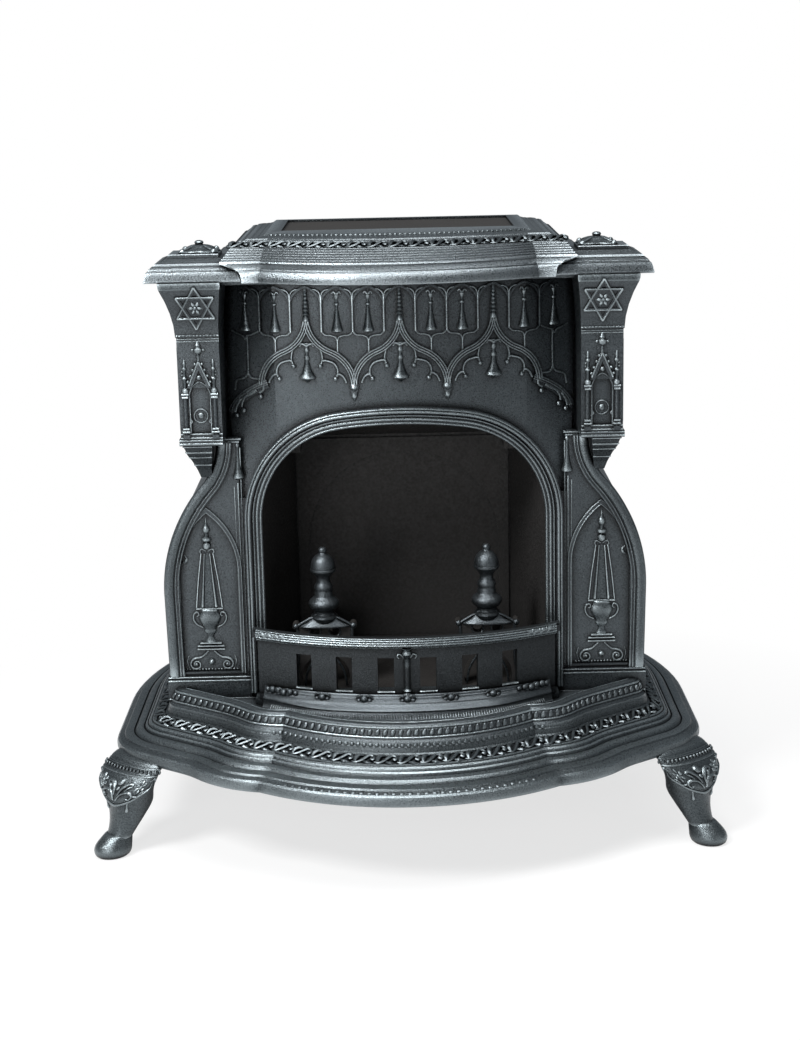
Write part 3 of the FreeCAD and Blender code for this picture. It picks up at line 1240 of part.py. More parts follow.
def flue_collar():
    """Collar casting: sleeve inside the body, flange on the back plate, pipe socket outside."""
    seat = BODY_BACK + SKIN
    end = DEPTH - HEARTH_REACH
    face = seat + FLANGE_T
    sleeve = tube(SLEEVE_R + COLLAR_WALL, SLEEVE_R, SLEEVE_FRONT, face)
    flange = tube(FLANGE_R, SLEEVE_R, seat, face)
    socket = tube(SOCKET_R + COLLAR_WALL, SOCKET_R, face, end)
    bead = tube(SOCKET_R + COLLAR_WALL + 2.5, SOCKET_R + 1, end - 7, end)
    body = fuse([sleeve, flange, socket, bead])
    holes = [rod(FLUE_BOLT_R + BOLT_CLEAR, VEC(x, seat - 1, z), VEC(x, face + 1, z))
             for x, z in flue_bolt_places()]
    pivot = rod(SPINDLE_R + SPINDLE_FIT, VEC(-DEPTH, DAMPER_Y, FLUE_Z), VEC(DEPTH, DAMPER_Y, FLUE_Z))
    bosses = [rod(10, VEC(s * (SLEEVE_R + 2), DAMPER_Y, FLUE_Z),
                  VEC(s * (SLEEVE_R + COLLAR_WALL + 6), DAMPER_Y, FLUE_Z)) for s in (-1, 1)]
    body = fuse([body] + bosses)
    bore = rod(SLEEVE_R, VEC(0, SLEEVE_FRONT - 1, FLUE_Z), VEC(0, face, FLUE_Z))
    return body.cut(bore).cut(Part.makeCompound(holes + [pivot]))


def collar_bolts():
    """Bolts and nuts of the flue collar."""
    bolts = []
    face = BODY_BACK + SKIN + FLANGE_T
    height = FLUE_BOLT_HEAD * 0.4
    for x, z in flue_bolt_places():
        shank = rod(FLUE_BOLT_R, VEC(x, BODY_BACK - 2 * height, z), VEC(x, face + 1, z))
        head = hexagon(VEC(0, 0, 0), FLUE_BOLT_HEAD, height)
        head.rotate(VEC(0, 0, 0), VEC(1, 0, 0), -90)
        nut = head.copy()
        head.translate(VEC(x, face, z))
        nut.translate(VEC(x, BODY_BACK - height, z))
        bolts.append(fuse([shank, head, nut]))
    return Part.makeCompound(bolts)


def damper_plate():
    """Round butterfly plate, shown open, with a groove for the spindle."""
    disc = Part.makeCylinder(DAMPER_R, DAMPER_T, VEC(0, DAMPER_Y, FLUE_Z - DAMPER_T / 2), Z_AXIS)
    rib = rod(SPINDLE_R + 3.5, VEC(-DAMPER_R + 6, DAMPER_Y, FLUE_Z), VEC(DAMPER_R - 6, DAMPER_Y, FLUE_Z))
    groove = rod(SPINDLE_R + SNUG, VEC(-DEPTH, DAMPER_Y, FLUE_Z), VEC(DEPTH, DAMPER_Y, FLUE_Z))
    return fuse([disc, rib]).cut(groove)


def damper_spindle():
    """Spindle through the sleeve and the right-hand side plate, bent into a crank."""
    left = -(SLEEVE_R + COLLAR_WALL + 10)
    bend = VEC(CRANK_X, DAMPER_Y, FLUE_Z)
    shaft = rod(SPINDLE_R, VEC(left, DAMPER_Y, FLUE_Z), bend)
    crank = rod(SPINDLE_R, bend, bend - Z_AXIS * CRANK_DROP)
    elbow = Part.makeSphere(SPINDLE_R, bend)
    return fuse([shaft, crank, elbow])


def damper_handle():
    """Turned grip on the end of the crank."""
    foot = FLUE_Z - GRIP_DROP
    grip = revolve([(6, foot), (9, foot + 2), (10.5, foot + 10), (9, foot + 26), (7, foot + 38),
                    (9, foot + 42), (9, foot + 46), (6, foot + 48)], VEC(CRANK_X, DAMPER_Y, 0))
    bore = rod(SPINDLE_R + SNUG, VEC(CRANK_X, DAMPER_Y, FLUE_Z - CRANK_DROP - 1),
               VEC(CRANK_X, DAMPER_Y, FLUE_Z))
    return grip.cut(bore)


def both_sides(name, shape):
    """Write the right-hand shape and its mirror image."""
    save(name + "_right", shape)
    save(name + "_left", mirror_x(shape))


def main():
    """Build every plate and write it."""
    os.makedirs("parts", exist_ok=True)
    save("base_plate", base_plate())
    save("hearth_tray", hearth_tray())
    save("firebox_floor", firebox_floor())
    for name, place, outward in leg_places():
        save("leg_" + name, leg(place, outward))
    save("leg_bolts", leg_bolts())
    both_sides("jamb", jamb())
    save("arch_frame", arch_frame())
    save("front_plate", front_plate())
    both_sides("pilaster", pilaster())
    both_sides("corbel", corbel())
    save("side_plate_right", side_plate().cut(spindle_hole()))
    save("side_plate_left", mirror_x(side_plate()))
    save("back_plate", back_plate())
    both_sides("cheek", cheek())
    save("fireback", fireback())
    save("throat_baffle", throat_baffle())
    save("mantel", mantel())
    save("top_plate", top_plate())
    both_sides("finial", finial())
    save("pilaster_bolts", pilaster_bolts())
    save("tie_rods", tie_rods())
    save("tie_rod_nuts", tie_rod_nuts())
    save("basket_front", basket_front())
    for side, sign in SIDES.items():
        save("andiron_" + side, andiron(sign))
    save("flue_collar", flue_collar())
    save("collar_bolts", collar_bolts())
    save("damper_plate", damper_plate())
    save("damper_spindle", damper_spindle())
    save("damper_handle", damper_handle())


main()
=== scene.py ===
"""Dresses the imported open-front cast iron stove with its castings, ornament and finishes."""
from __future__ import annotations

import json
import logging
import math
from dataclasses import dataclass, replace
from enum import Enum
from typing import Callable, Iterable, Sequence

import bmesh
import bpy
from mathutils import Matrix, Vector

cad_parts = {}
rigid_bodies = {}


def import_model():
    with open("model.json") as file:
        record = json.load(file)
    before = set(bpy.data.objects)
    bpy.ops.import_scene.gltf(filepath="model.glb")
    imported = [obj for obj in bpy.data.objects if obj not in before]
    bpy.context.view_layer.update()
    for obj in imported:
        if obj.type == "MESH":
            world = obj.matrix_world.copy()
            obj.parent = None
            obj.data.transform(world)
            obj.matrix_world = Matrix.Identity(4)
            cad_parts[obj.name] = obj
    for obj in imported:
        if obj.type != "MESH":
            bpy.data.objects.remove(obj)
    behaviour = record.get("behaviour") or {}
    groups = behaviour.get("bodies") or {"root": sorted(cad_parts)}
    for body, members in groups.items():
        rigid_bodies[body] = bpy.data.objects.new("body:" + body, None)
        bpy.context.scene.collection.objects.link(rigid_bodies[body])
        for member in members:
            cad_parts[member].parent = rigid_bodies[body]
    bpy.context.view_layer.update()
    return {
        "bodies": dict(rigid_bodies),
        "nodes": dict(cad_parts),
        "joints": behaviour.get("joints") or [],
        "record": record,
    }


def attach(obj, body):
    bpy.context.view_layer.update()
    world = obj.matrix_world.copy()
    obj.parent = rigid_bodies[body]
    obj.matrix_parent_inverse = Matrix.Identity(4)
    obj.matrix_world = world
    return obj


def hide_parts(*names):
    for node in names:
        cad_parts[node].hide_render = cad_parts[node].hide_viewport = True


LOG = logging.getLogger("stove")
MM = 0.001
FRONT_Y = -25.5             # jamb plane in the stove's own frame, mm
SINK = 0.8                  # how far a rib reaches below its face, mm
Flat = tuple[float, float]
Point = tuple[float, float, float]
Row = tuple[float, float, float, float]
Ring = list[Point]
Course = list[tuple[Point, Point]]      # points of a path, each with the way it faces
Place = Callable[[float, float, float], Point]
Face = Callable[[float, float], float]
Socket = bpy.types.NodeSocket


class Body(Enum):
    """Bodies that a piece can ride on."""

    STOVE = "stove"
    BASKET = "basket"
    ANDIRON_LEFT = "andiron_left"
    ANDIRON_RIGHT = "andiron_right"
    DAMPER = "damper"


class Slot(Enum):
    """Material slots of the record."""

    BLACK_IRON = "black_iron"
    FIRE_IRON = "fire_iron"
    STEEL = "steel"


class Side(Enum):
    """The two sides of the stove, with the sign of their x."""

    LEFT = -1
    RIGHT = 1

    @property
    def label(self) -> str:
        """Name of the side in lower case."""
        return self.name.lower()


# ---- flat paths ------------------------------------------------------
def arc_path(centre: Flat, radius: float, start: float, end: float, steps: int) -> list[Flat]:
    """Points on an arc.

    Args:
        centre: Centre of the arc.
        radius: Its radius.
        start: First angle in degrees, counted from the first axis.
        end: Last angle in degrees.
        steps: Number of chords.

    Returns:
        The points from start to end.
    """
    turns = [math.radians(start + (end - start) * i / steps) for i in range(steps + 1)]
    return [(centre[0] + radius * math.cos(t), centre[1] + radius * math.sin(t)) for t in turns]


def line(start: Flat, end: Flat, steps: int) -> list[Flat]:
    """Evenly spaced points on a straight line.

    Args:
        start: First point.
        end: Last point.
        steps: Number of chords.

    Returns:
        The points from start to end.
    """
    return [(start[0] + (end[0] - start[0]) * k / steps, start[1] + (end[1] - start[1]) * k / steps)
            for k in range(steps + 1)]


def spline(points: Sequence[Flat], steps: int) -> list[Flat]:
    """Smooth curve through a few points.

    Args:
        points: Points that the curve passes.
        steps: Chords between two of them.

    Returns:
        The points of the curve.
    """
    ends = [points[0], *points, points[-1]]
    path: list[Flat] = []
    for a, b, c, d in zip(ends, ends[1:], ends[2:], ends[3:]):
        for i in range(steps):
            t = i / steps
            path.append(tuple(0.5 * (2 * q + (r - p) * t + (2 * p - 5 * q + 4 * r - s) * t * t
                                     + (3 * q - p - 3 * r + s) * t ** 3)
                              for p, q, r, s in zip(a, b, c, d)))
    path.append(tuple(points[-1]))
    return path


def mirror_path(path: Iterable[Flat], about: float = 0.0) -> list[Flat]:
    """The same path on the other side of an upright line."""
    return [(2 * about - u, v) for u, v in path]


def beside(path: Sequence[Flat], gap: float) -> list[Flat]:
    """Path beside another one.

    Args:
        path: The path to follow.
        gap: Distance to its left, or to its right where negative.

    Returns:
        The points of the new path.
    """
    moved = []
    for i, (u, v) in enumerate(path):
        before = path[max(i - 1, 0)]
        after = path[min(i + 1, len(path) - 1)]
        run = math.hypot(after[0] - before[0], after[1] - before[1]) or 1.0
        moved.append((u - gap * (after[1] - before[1]) / run,
                      v + gap * (after[0] - before[0]) / run))
    return moved


def ogee(half: float, foot: float, apex: float) -> list[Flat]:
    """Right half of an ogee: two equal arcs that start and end upright.

    Args:
        half: Distance of the foot from the axis.
        foot: Height of the foot.
        apex: Height of the point on the axis.

    Returns:
        The points from foot to apex.
    """
    rise = apex - foot
    radius = (half * half + rise * rise) / (4 * half)
    turn = math.degrees(math.asin(rise / 2 / radius))
    lower = arc_path((half - radius, foot), radius, 0.0, turn, 10)
    return lower + arc_path((radius, apex), radius, 180.0 + turn, 180.0, 10)[1:]


def lancet_path(half: float, foot: float, spring: float, rise: float, x: float,
                steps: int = 14) -> list[Flat]:
    """Outline of a pointed arch from its left foot to its right foot.

    Args:
        half: Half width.
        foot: Height of the feet.
        spring: Height where the arch begins.
        rise: Height of the point above the spring.
        x: Middle of the arch.
        steps: Chords of each curved side.

    Returns:
        The points of the outline, open at the foot.
    """
    radius = (half * half + rise * rise) / (2 * half)
    turn = math.degrees(math.atan2(rise, radius - half))
    right = line((x + half, foot), (x + half, spring), 3)[:-1]
    right += arc_path((x + half - radius, spring), radius, 0.0, turn, steps)
    return mirror_path(right, x) + right[-2::-1]


def spread(values: float | Sequence[float], count: int) -> list[float]:
    """A few values drawn out evenly over a number of points.

    Args:
        values: One value or several.
        count: How many are needed.

    Returns:
        The values in between, one for each point.
    """
    if isinstance(values, (int, float)):
        return [float(values)] * count
    drawn = []
    for i in range(count):
        at = i * (len(values) - 1) / max(count - 1, 1)
        low = min(int(at), len(values) - 2)
        drawn.append(values[low] + (values[low + 1] - values[low]) * (at - low))
    return drawn


# ---- drawing kit -----------------------------------------------------
class Draft:
    """Mesh being drawn in millimetres, with y = 0 on the jambs' front plane."""

    def __init__(self) -> None:
        """Start without points."""
        self.points: list[Point] = []
        self.faces: list[tuple[int, ...]] = []

    def skin(self, rings: Sequence[Ring], capped: bool = True) -> "Draft":
        """Join closed rings of equal count.

        Args:
            rings: The rings in order.
            capped: Whether the first and the last ring are filled.

        Returns:
            The draft itself.
        """
        first = len(self.points)
        count = len(rings[0])
        for ring in rings:
            self.points.extend(ring)
        for row in range(len(rings) - 1):
            for col in range(count):
                a = first + row * count + col
                b = first + row * count + (col + 1) % count
                self.faces.append((a, b, b + count, a + count))
        if capped:
            last = first + (len(rings) - 1) * count
            self.faces.append(tuple(range(first, first + count)))
            self.faces.append(tuple(range(last, last + count)))
        return self

    def both(self) -> "Draft":
        """The draft together with its mirror image on the other side of the stove.

        Returns:
            A new draft.
        """
        count = len(self.points)
        whole = Draft()
        whole.points = self.points + [(-x, y, z) for x, y, z in self.points]
        whole.faces = self.faces + [tuple(i + count for i in face[::-1]) for face in self.faces]
        return whole

    def mesh(self, name: str, shift: float = FRONT_Y, sharp: float = 35.0) -> bpy.types.Mesh:
        """Turn the draft into a mesh in metres.

        Args:
            name: Name of the mesh.
            shift: Distance along y that brings it into the stove's frame, mm.
            sharp: Angle in degrees above which an edge stays crisp.

        Returns:
            The mesh, with doubles merged and normals outward.
        """
        mesh = bpy.data.meshes.new(name)
        mesh.from_pydata([(x * MM, (y + shift) * MM, z * MM) for x, y, z in self.points],
                         [], self.faces)
        work = bmesh.new()
        work.from_mesh(mesh)
        bmesh.ops.remove_doubles(work, verts=work.verts, dist=0.00001)
        bmesh.ops.recalc_face_normals(work, faces=work.faces)
        work.to_mesh(mesh)
        work.free()
        mesh.shade_smooth()
        mesh.set_sharp_from_angle(angle=math.radians(sharp))
        return mesh


def flat_place(u: float, v: float, height: float) -> Point:
    """Place on a level sheet that looks up."""
    return (u, v, height)


def on_face(face: Face, ahead: float = 0.0) -> Place:
    """Place on an upright face that looks forward.

    Args:
        face: y of the face at (x, z).
        ahead: Distance in front of it from which heights count.

    Returns:
        The function from (x, z, height) to a point.
    """
    return lambda x, z, height: (x, face(x, z) - ahead - height, z)


def ridge(draft: Draft, place: Place, path: Sequence[Flat], widths: float | Sequence[float],
          lift: float, steps: int = 5, looped: bool = False) -> None:
    """Draw a rounded rib along a flat path, let a little into what carries it.

    Args:
        draft: Draft that takes the rib.
        place: Maps the path and a height to a point.
        path: The middle line.
        widths: Width, or widths spread along the path.
        lift: Height as a share of half the width.
        steps: Facets across.
        looped: Whether the path closes on itself.
    """
    count = len(path)
    sizes = spread(widths, count)
    rings = []
    for i, (u, v) in enumerate(path):
        before = path[i - 1] if i or looped else path[0]
        after = path[(i + 1) % count] if i < count - 1 or looped else path[-1]
        run = math.hypot(after[0] - before[0], after[1] - before[1]) or 1.0
        nu, nv = (before[1] - after[1]) / run, (after[0] - before[0]) / run
        half = sizes[i] / 2
        ring = []
        for k in range(steps + 1):
            turn = math.pi * k / steps
            side = half * math.cos(turn)
            ring.append(place(u + nu * side, v + nv * side, lift * half * math.sin(turn)))
        ring.append(place(u - nu * half, v - nv * half, -SINK))
        ring.append(place(u + nu * half, v + nv * half, -SINK))
        rings.append(ring)
    if looped:
        rings.append(rings[0])
    draft.skin(rings, not looped)


def bead(draft: Draft, place: Place, u: float, v: float, radius: float, lift: float,
         sides: int = 10) -> None:
    """Draw a round bead on a face.

    Args:
        draft: Draft that takes the bead.
        place: Maps the sheet and a height to a point.
        u: Middle along the first axis.
        v: Middle along the second axis.
        radius: Its radius.
        lift: Height as a share of the radius.
        sides: Facets round it.
    """
    rings = []
    for share, height in ((1.0, -0.5 / max(radius * lift, 0.1)), (1.0, 0.0), (0.88, 0.47),
                          (0.6, 0.8), (0.25, 0.97)):
        rings.append([place(a, b, radius * lift * height)
                      for a, b in arc_path((u, v), radius * share, 0.0, 360.0, sides)[:-1]])
    draft.skin(rings)


def turned(draft: Draft, place: Place, u: float, profile: Sequence[Flat], lift: float) -> None:
    """Draw an upright turned ornament in half relief.

    Args:
        draft: Draft that takes it.
        place: Maps the sheet and a height to a point.
        u: Its axis.
        profile: Heights along the axis with the width at each.
        lift: Height of the relief as a share of half the width.
    """
    ridge(draft, place, [(u, v) for v, _ in profile], [w for _, w in profile], lift, 8)


def pair(draft: Draft, place: Place, x: float, path: Sequence[Flat],
         widths: float | Sequence[float], lift: float, chords: int = 4) -> None:
    """Draw a smooth rib on each side of an upright axis.

    Args:
        draft: Draft that takes the ribs.
        place: Maps the sheet and a height to a point.
        x: The axis.
        path: Distances from the axis, with heights.
        widths: Width, or widths spread along the path.
        lift: Height as a share of half the width.
        chords: Chords between two points, 1 for a straight run.
    """
    for side in (-1, 1):
        ridge(draft, place, [(x + side * u, v) for u, v in spline(path, chords)], widths, lift)


def bead_pair(draft: Draft, place: Place, x: float, spot: Flat, radius: float, lift: float,
              sides: int = 10) -> None:
    """Draw a bead on each side of an upright axis.

    Args:
        draft: Draft that takes the beads.
        place: Maps the sheet and a height to a point.
        x: The axis.
        spot: Distance from the axis, and height.
        radius: Radius of a bead.
        lift: Height as a share of it.
        sides: Facets round it.
    """
    for side in (-1, 1):
        bead(draft, place, x + side * spot[0], spot[1], radius, lift, sides)


def lathe(draft: Draft, centre: Flat, profile: Sequence[Flat], sides: int) -> None:
    """Draw a solid turned about an upright axis.

    Args:
        draft: Draft that takes it.
        centre: Plan position of the axis.
        profile: Radius and height pairs from one end to the other.
        sides: Facets round the axis.
    """
    draft.skin([[(x, y, z) for x, y in arc_path(centre, r, 0.0, 360.0, sides)[:-1]]
                for r, z in profile])


def brick_ring(x0: float, y0: float, x1: float, y1: float, z: float) -> Ring:
    """Rectangle with extra points along its sides, closer together at the corners.

    Args:
        x0: First x.
        y0: First y.
        x1: Other x.
        y1: Other y.
        z: Height.

    Returns:
        The ring.
    """
    corners = ((x0, y0), (x1, y0), (x1, y1), (x0, y1))
    return [(ax + (bx - ax) * share, ay + (by - ay) * share, z)
            for (ax, ay), (bx, by) in zip(corners, corners[1:] + corners[:1])
            for share in (0.0, 0.02, 0.07, 0.2, 0.4, 0.6, 0.8, 0.93, 0.98)]


# ---- finishes --------------------------------------------------------
class Wiring:
    """Adds nodes to a tree and wires them."""

    def __init__(self, tree: bpy.types.NodeTree) -> None:
        """Take over a tree."""
        self.nodes, self.links = tree.nodes, tree.links

    def feed(self, node: bpy.types.Node, inputs: dict[str | int, object]) -> bpy.types.Node:
        """Set or wire a node's inputs.

        Args:
            node: The node.
            inputs: Value, socket or node with the socket first, for each input.

        Returns:
            The node.
        """
        for key, value in inputs.items():
            if isinstance(value, bpy.types.Node):
                value = value.outputs[0]
            if isinstance(value, Socket):
                self.links.new(value, node.inputs[key])
            else:
                node.inputs[key].default_value = value
        return node

    def add(self, kind: str, inputs: dict[str | int, object] | None = None,
            **settings: object) -> bpy.types.Node:
        """Add a node.

        Args:
            kind: Its type.
            inputs: What feeds its inputs.
            **settings: Its properties, set before its inputs.

        Returns:
            The node.
        """
        node = self.nodes.new(kind)
        for key, value in settings.items():
            setattr(node, key, value)
        return self.feed(node, inputs or {})

    def math(self, operation: str, first: Socket, second: Socket) -> Socket:
        """Clamped sum or product of two values.

        Args:
            operation: Name of the operation.
            first: First value.
            second: Second value.

        Returns:
            The socket with the result.
        """
        return self.add("ShaderNodeMath", {0: first, 1: second}, operation=operation,
                        use_clamp=True).outputs[0]

    def stretch(self, value: Socket, given: Flat, wanted: Flat) -> Socket:
        """Stretch a value from one range to another.

        Args:
            value: The value.
            given: Ends of its range.
            wanted: Results at these ends.

        Returns:
            The socket with the result.
        """
        ends = zip(("From Min", "From Max", "To Min", "To Max"), given + wanted)
        return self.add("ShaderNodeMapRange", {"Value": value, **dict(ends)}).outputs["Result"]

    def blend(self, share: Socket, first: Point, second: Point | Socket) -> Socket:
        """Blend a colour with another colour or with an earlier result.

        Args:
            share: Part of the second colour.
            first: First colour.
            second: Second colour, or the socket that gives it.

        Returns:
            The socket with the blended colour.
        """
        other = (*second, 1.0) if isinstance(second, tuple) else second
        return self.add("ShaderNodeMix", {"Factor": share, "A": (*first, 1.0), "B": other},
                        data_type="RGBA").outputs["Result"]


@dataclass(frozen=True)
class IronFinish:
    """Cast iron with a sand-cast skin, with painted shade in its recesses, painted light on faces
    that look up, and rubbed wear with a painted highlight on its raised edges.
    """

    name: str
    dark: Point                 # colour of the painted shade in hollows
    body: Point                 # colour of plain faces
    light: Point                # colour of rubbed edges with their painted highlight, and of the painted light on faces that look up
    metallic: float
    rough: Flat                 # roughness in the hollows and on the tops of the grain
    grain: float                # height of the casting grain, mm
    grain_scale: float          # grains across a metre
    up_gain: float              # share of painted light on faces that look up
    recess: float               # reach of the painted shade in hollows, metres
    edge_gain: float            # how bright raised edges get: rubbed wear and a painted highlight

    def build(self) -> bpy.types.Material:
        """Make the node material.

        Returns:
            The finished material, ready to assign.
        """
        mat = bpy.data.materials.new(self.name)
        mat.use_nodes = True
        tree = Wiring(mat.node_tree)
        spot = tree.add("ShaderNodeTexCoord").outputs["Object"]
        blotch, grain, fine = (
            tree.add("ShaderNodeTexNoise", {"Scale": scale, "Detail": octaves, "Vector": spot})
            for scale, octaves in ((11.0, 6.0), (self.grain_scale, 3.0),
                                   (self.grain_scale * 2.7, 2.0)))
        colour = tree.blend(self._rubbed(tree, grain.outputs[0]), self.body, self.light)
        # Painted shade: ambient occlusion blends the shade colour into hollows, broken up by a
        # random blotch.
        hollow = tree.add("ShaderNodeAmbientOcclusion", {"Distance": self.recess}, samples=6)
        share = tree.math("MULTIPLY", tree.stretch(hollow.outputs["AO"], (0.45, 1.0), (0.0, 1.0)),
                          tree.stretch(blotch.outputs[0], (0.3, 0.7), (0.7, 1.0)))
        height = tree.add("ShaderNodeMath", {0: fine, 1: 0.45, 2: grain}, operation="MULTIPLY_ADD")
        tree.feed(tree.nodes["Principled BSDF"], {
            "Base Color": tree.blend(share, self.dark, colour),
            "Metallic": self.metallic,
            "Roughness": tree.stretch(grain.outputs[0], (0.3, 0.7), self.rough),
            "Normal": tree.add("ShaderNodeBump", {
                "Strength": 0.85, "Distance": self.grain * MM, "Height": height})})
        return mat

    def _rubbed(self, tree: Wiring, grain: Socket) -> Socket:
        """Share of the light colour: painted light on faces that look up, rubbed wear with a
        painted highlight on raised edges, and lighter grains.

        Args:
            tree: Wiring of the material.
            grain: Casting grain.

        Returns:
            The socket with the share.
        """
        geometry = tree.add("ShaderNodeNewGeometry").outputs
        split = tree.add("ShaderNodeSeparateXYZ", {"Vector": geometry["Normal"]})
        # Painted light: faces that look up get more of the light colour.
        up = tree.stretch(split.outputs["Z"], (0.05, 0.95), (0.0, self.up_gain))
        # Rubbed wear and painted highlight: pointiness lightens raised edges.
        edge = tree.stretch(geometry["Pointiness"], (0.515, 0.63), (0.0, self.edge_gain))
        speck = tree.stretch(grain, (0.35, 0.72), (0.0, 0.11))
        return tree.math("ADD", tree.math("ADD", up, edge), speck)


BLACKED = IronFinish(
    name="blacked_iron", dark=(0.0015, 0.0015, 0.002), body=(0.034, 0.041, 0.045),
    light=(0.57, 0.65, 0.68), metallic=0.88, rough=(0.23, 0.38), grain=0.42, grain_scale=620.0,
    up_gain=0.20, recess=0.011, edge_gain=0.85)
PLAIN = replace(
    BLACKED, name="plain_casting", body=(0.030, 0.036, 0.040), light=(0.33, 0.385, 0.415),
    metallic=0.66, up_gain=0.18, edge_gain=0.0)
FINE = replace(
    BLACKED, name="fine_relief", light=(0.50, 0.57, 0.60), rough=(0.25, 0.40), grain=0.30,
    up_gain=0.14, recess=0.009, edge_gain=0.26)
POLISHED = replace(
    BLACKED, name="polished_casting", body=(0.055, 0.064, 0.069), light=(0.66, 0.74, 0.78),
    rough=(0.24, 0.38))
RUBBED = IronFinish(
    name="rubbed_casting", dark=(0.0015, 0.0015, 0.0015), body=(0.034, 0.040, 0.044),
    light=(0.46, 0.52, 0.56), metallic=0.87, rough=(0.28, 0.44), grain=0.50, grain_scale=560.0,
    up_gain=0.18, recess=0.012, edge_gain=0.0)
SMOKED = replace(
    RUBBED, name="smoked_casting", body=(0.021, 0.024, 0.026), light=(0.25, 0.28, 0.30),
    metallic=0.84, rough=(0.33, 0.50), grain=0.80)
SOOTED = IronFinish(
    name="sooted_iron", dark=(0.004, 0.004, 0.004), body=(0.009, 0.008, 0.0075),
    light=(0.05, 0.045, 0.04), metallic=0.1, rough=(0.6, 0.85), grain=0.6, grain_scale=300.0,
    up_gain=0.2, recess=0.02, edge_gain=0.0)
STEELED = IronFinish(
    name="blackened_steel", dark=(0.02, 0.02, 0.02), body=(0.10, 0.10, 0.10),
    light=(0.3, 0.3, 0.3), metallic=0.8, rough=(0.3, 0.45), grain=0.12, grain_scale=700.0,
    up_gain=0.2, recess=0.006, edge_gain=0.3)


# ---- workshop: makes meshes into pieces of the stove -----------------
def add_object(name: str, data: bpy.types.ID) -> bpy.types.Object:
    """Make an object and link it to the scene.

    Args:
        name: Its name.
        data: Its mesh, camera or lamp.

    Returns:
        The object.
    """
    item = bpy.data.objects.new(name, data)
    bpy.context.scene.collection.objects.link(item)
    return item


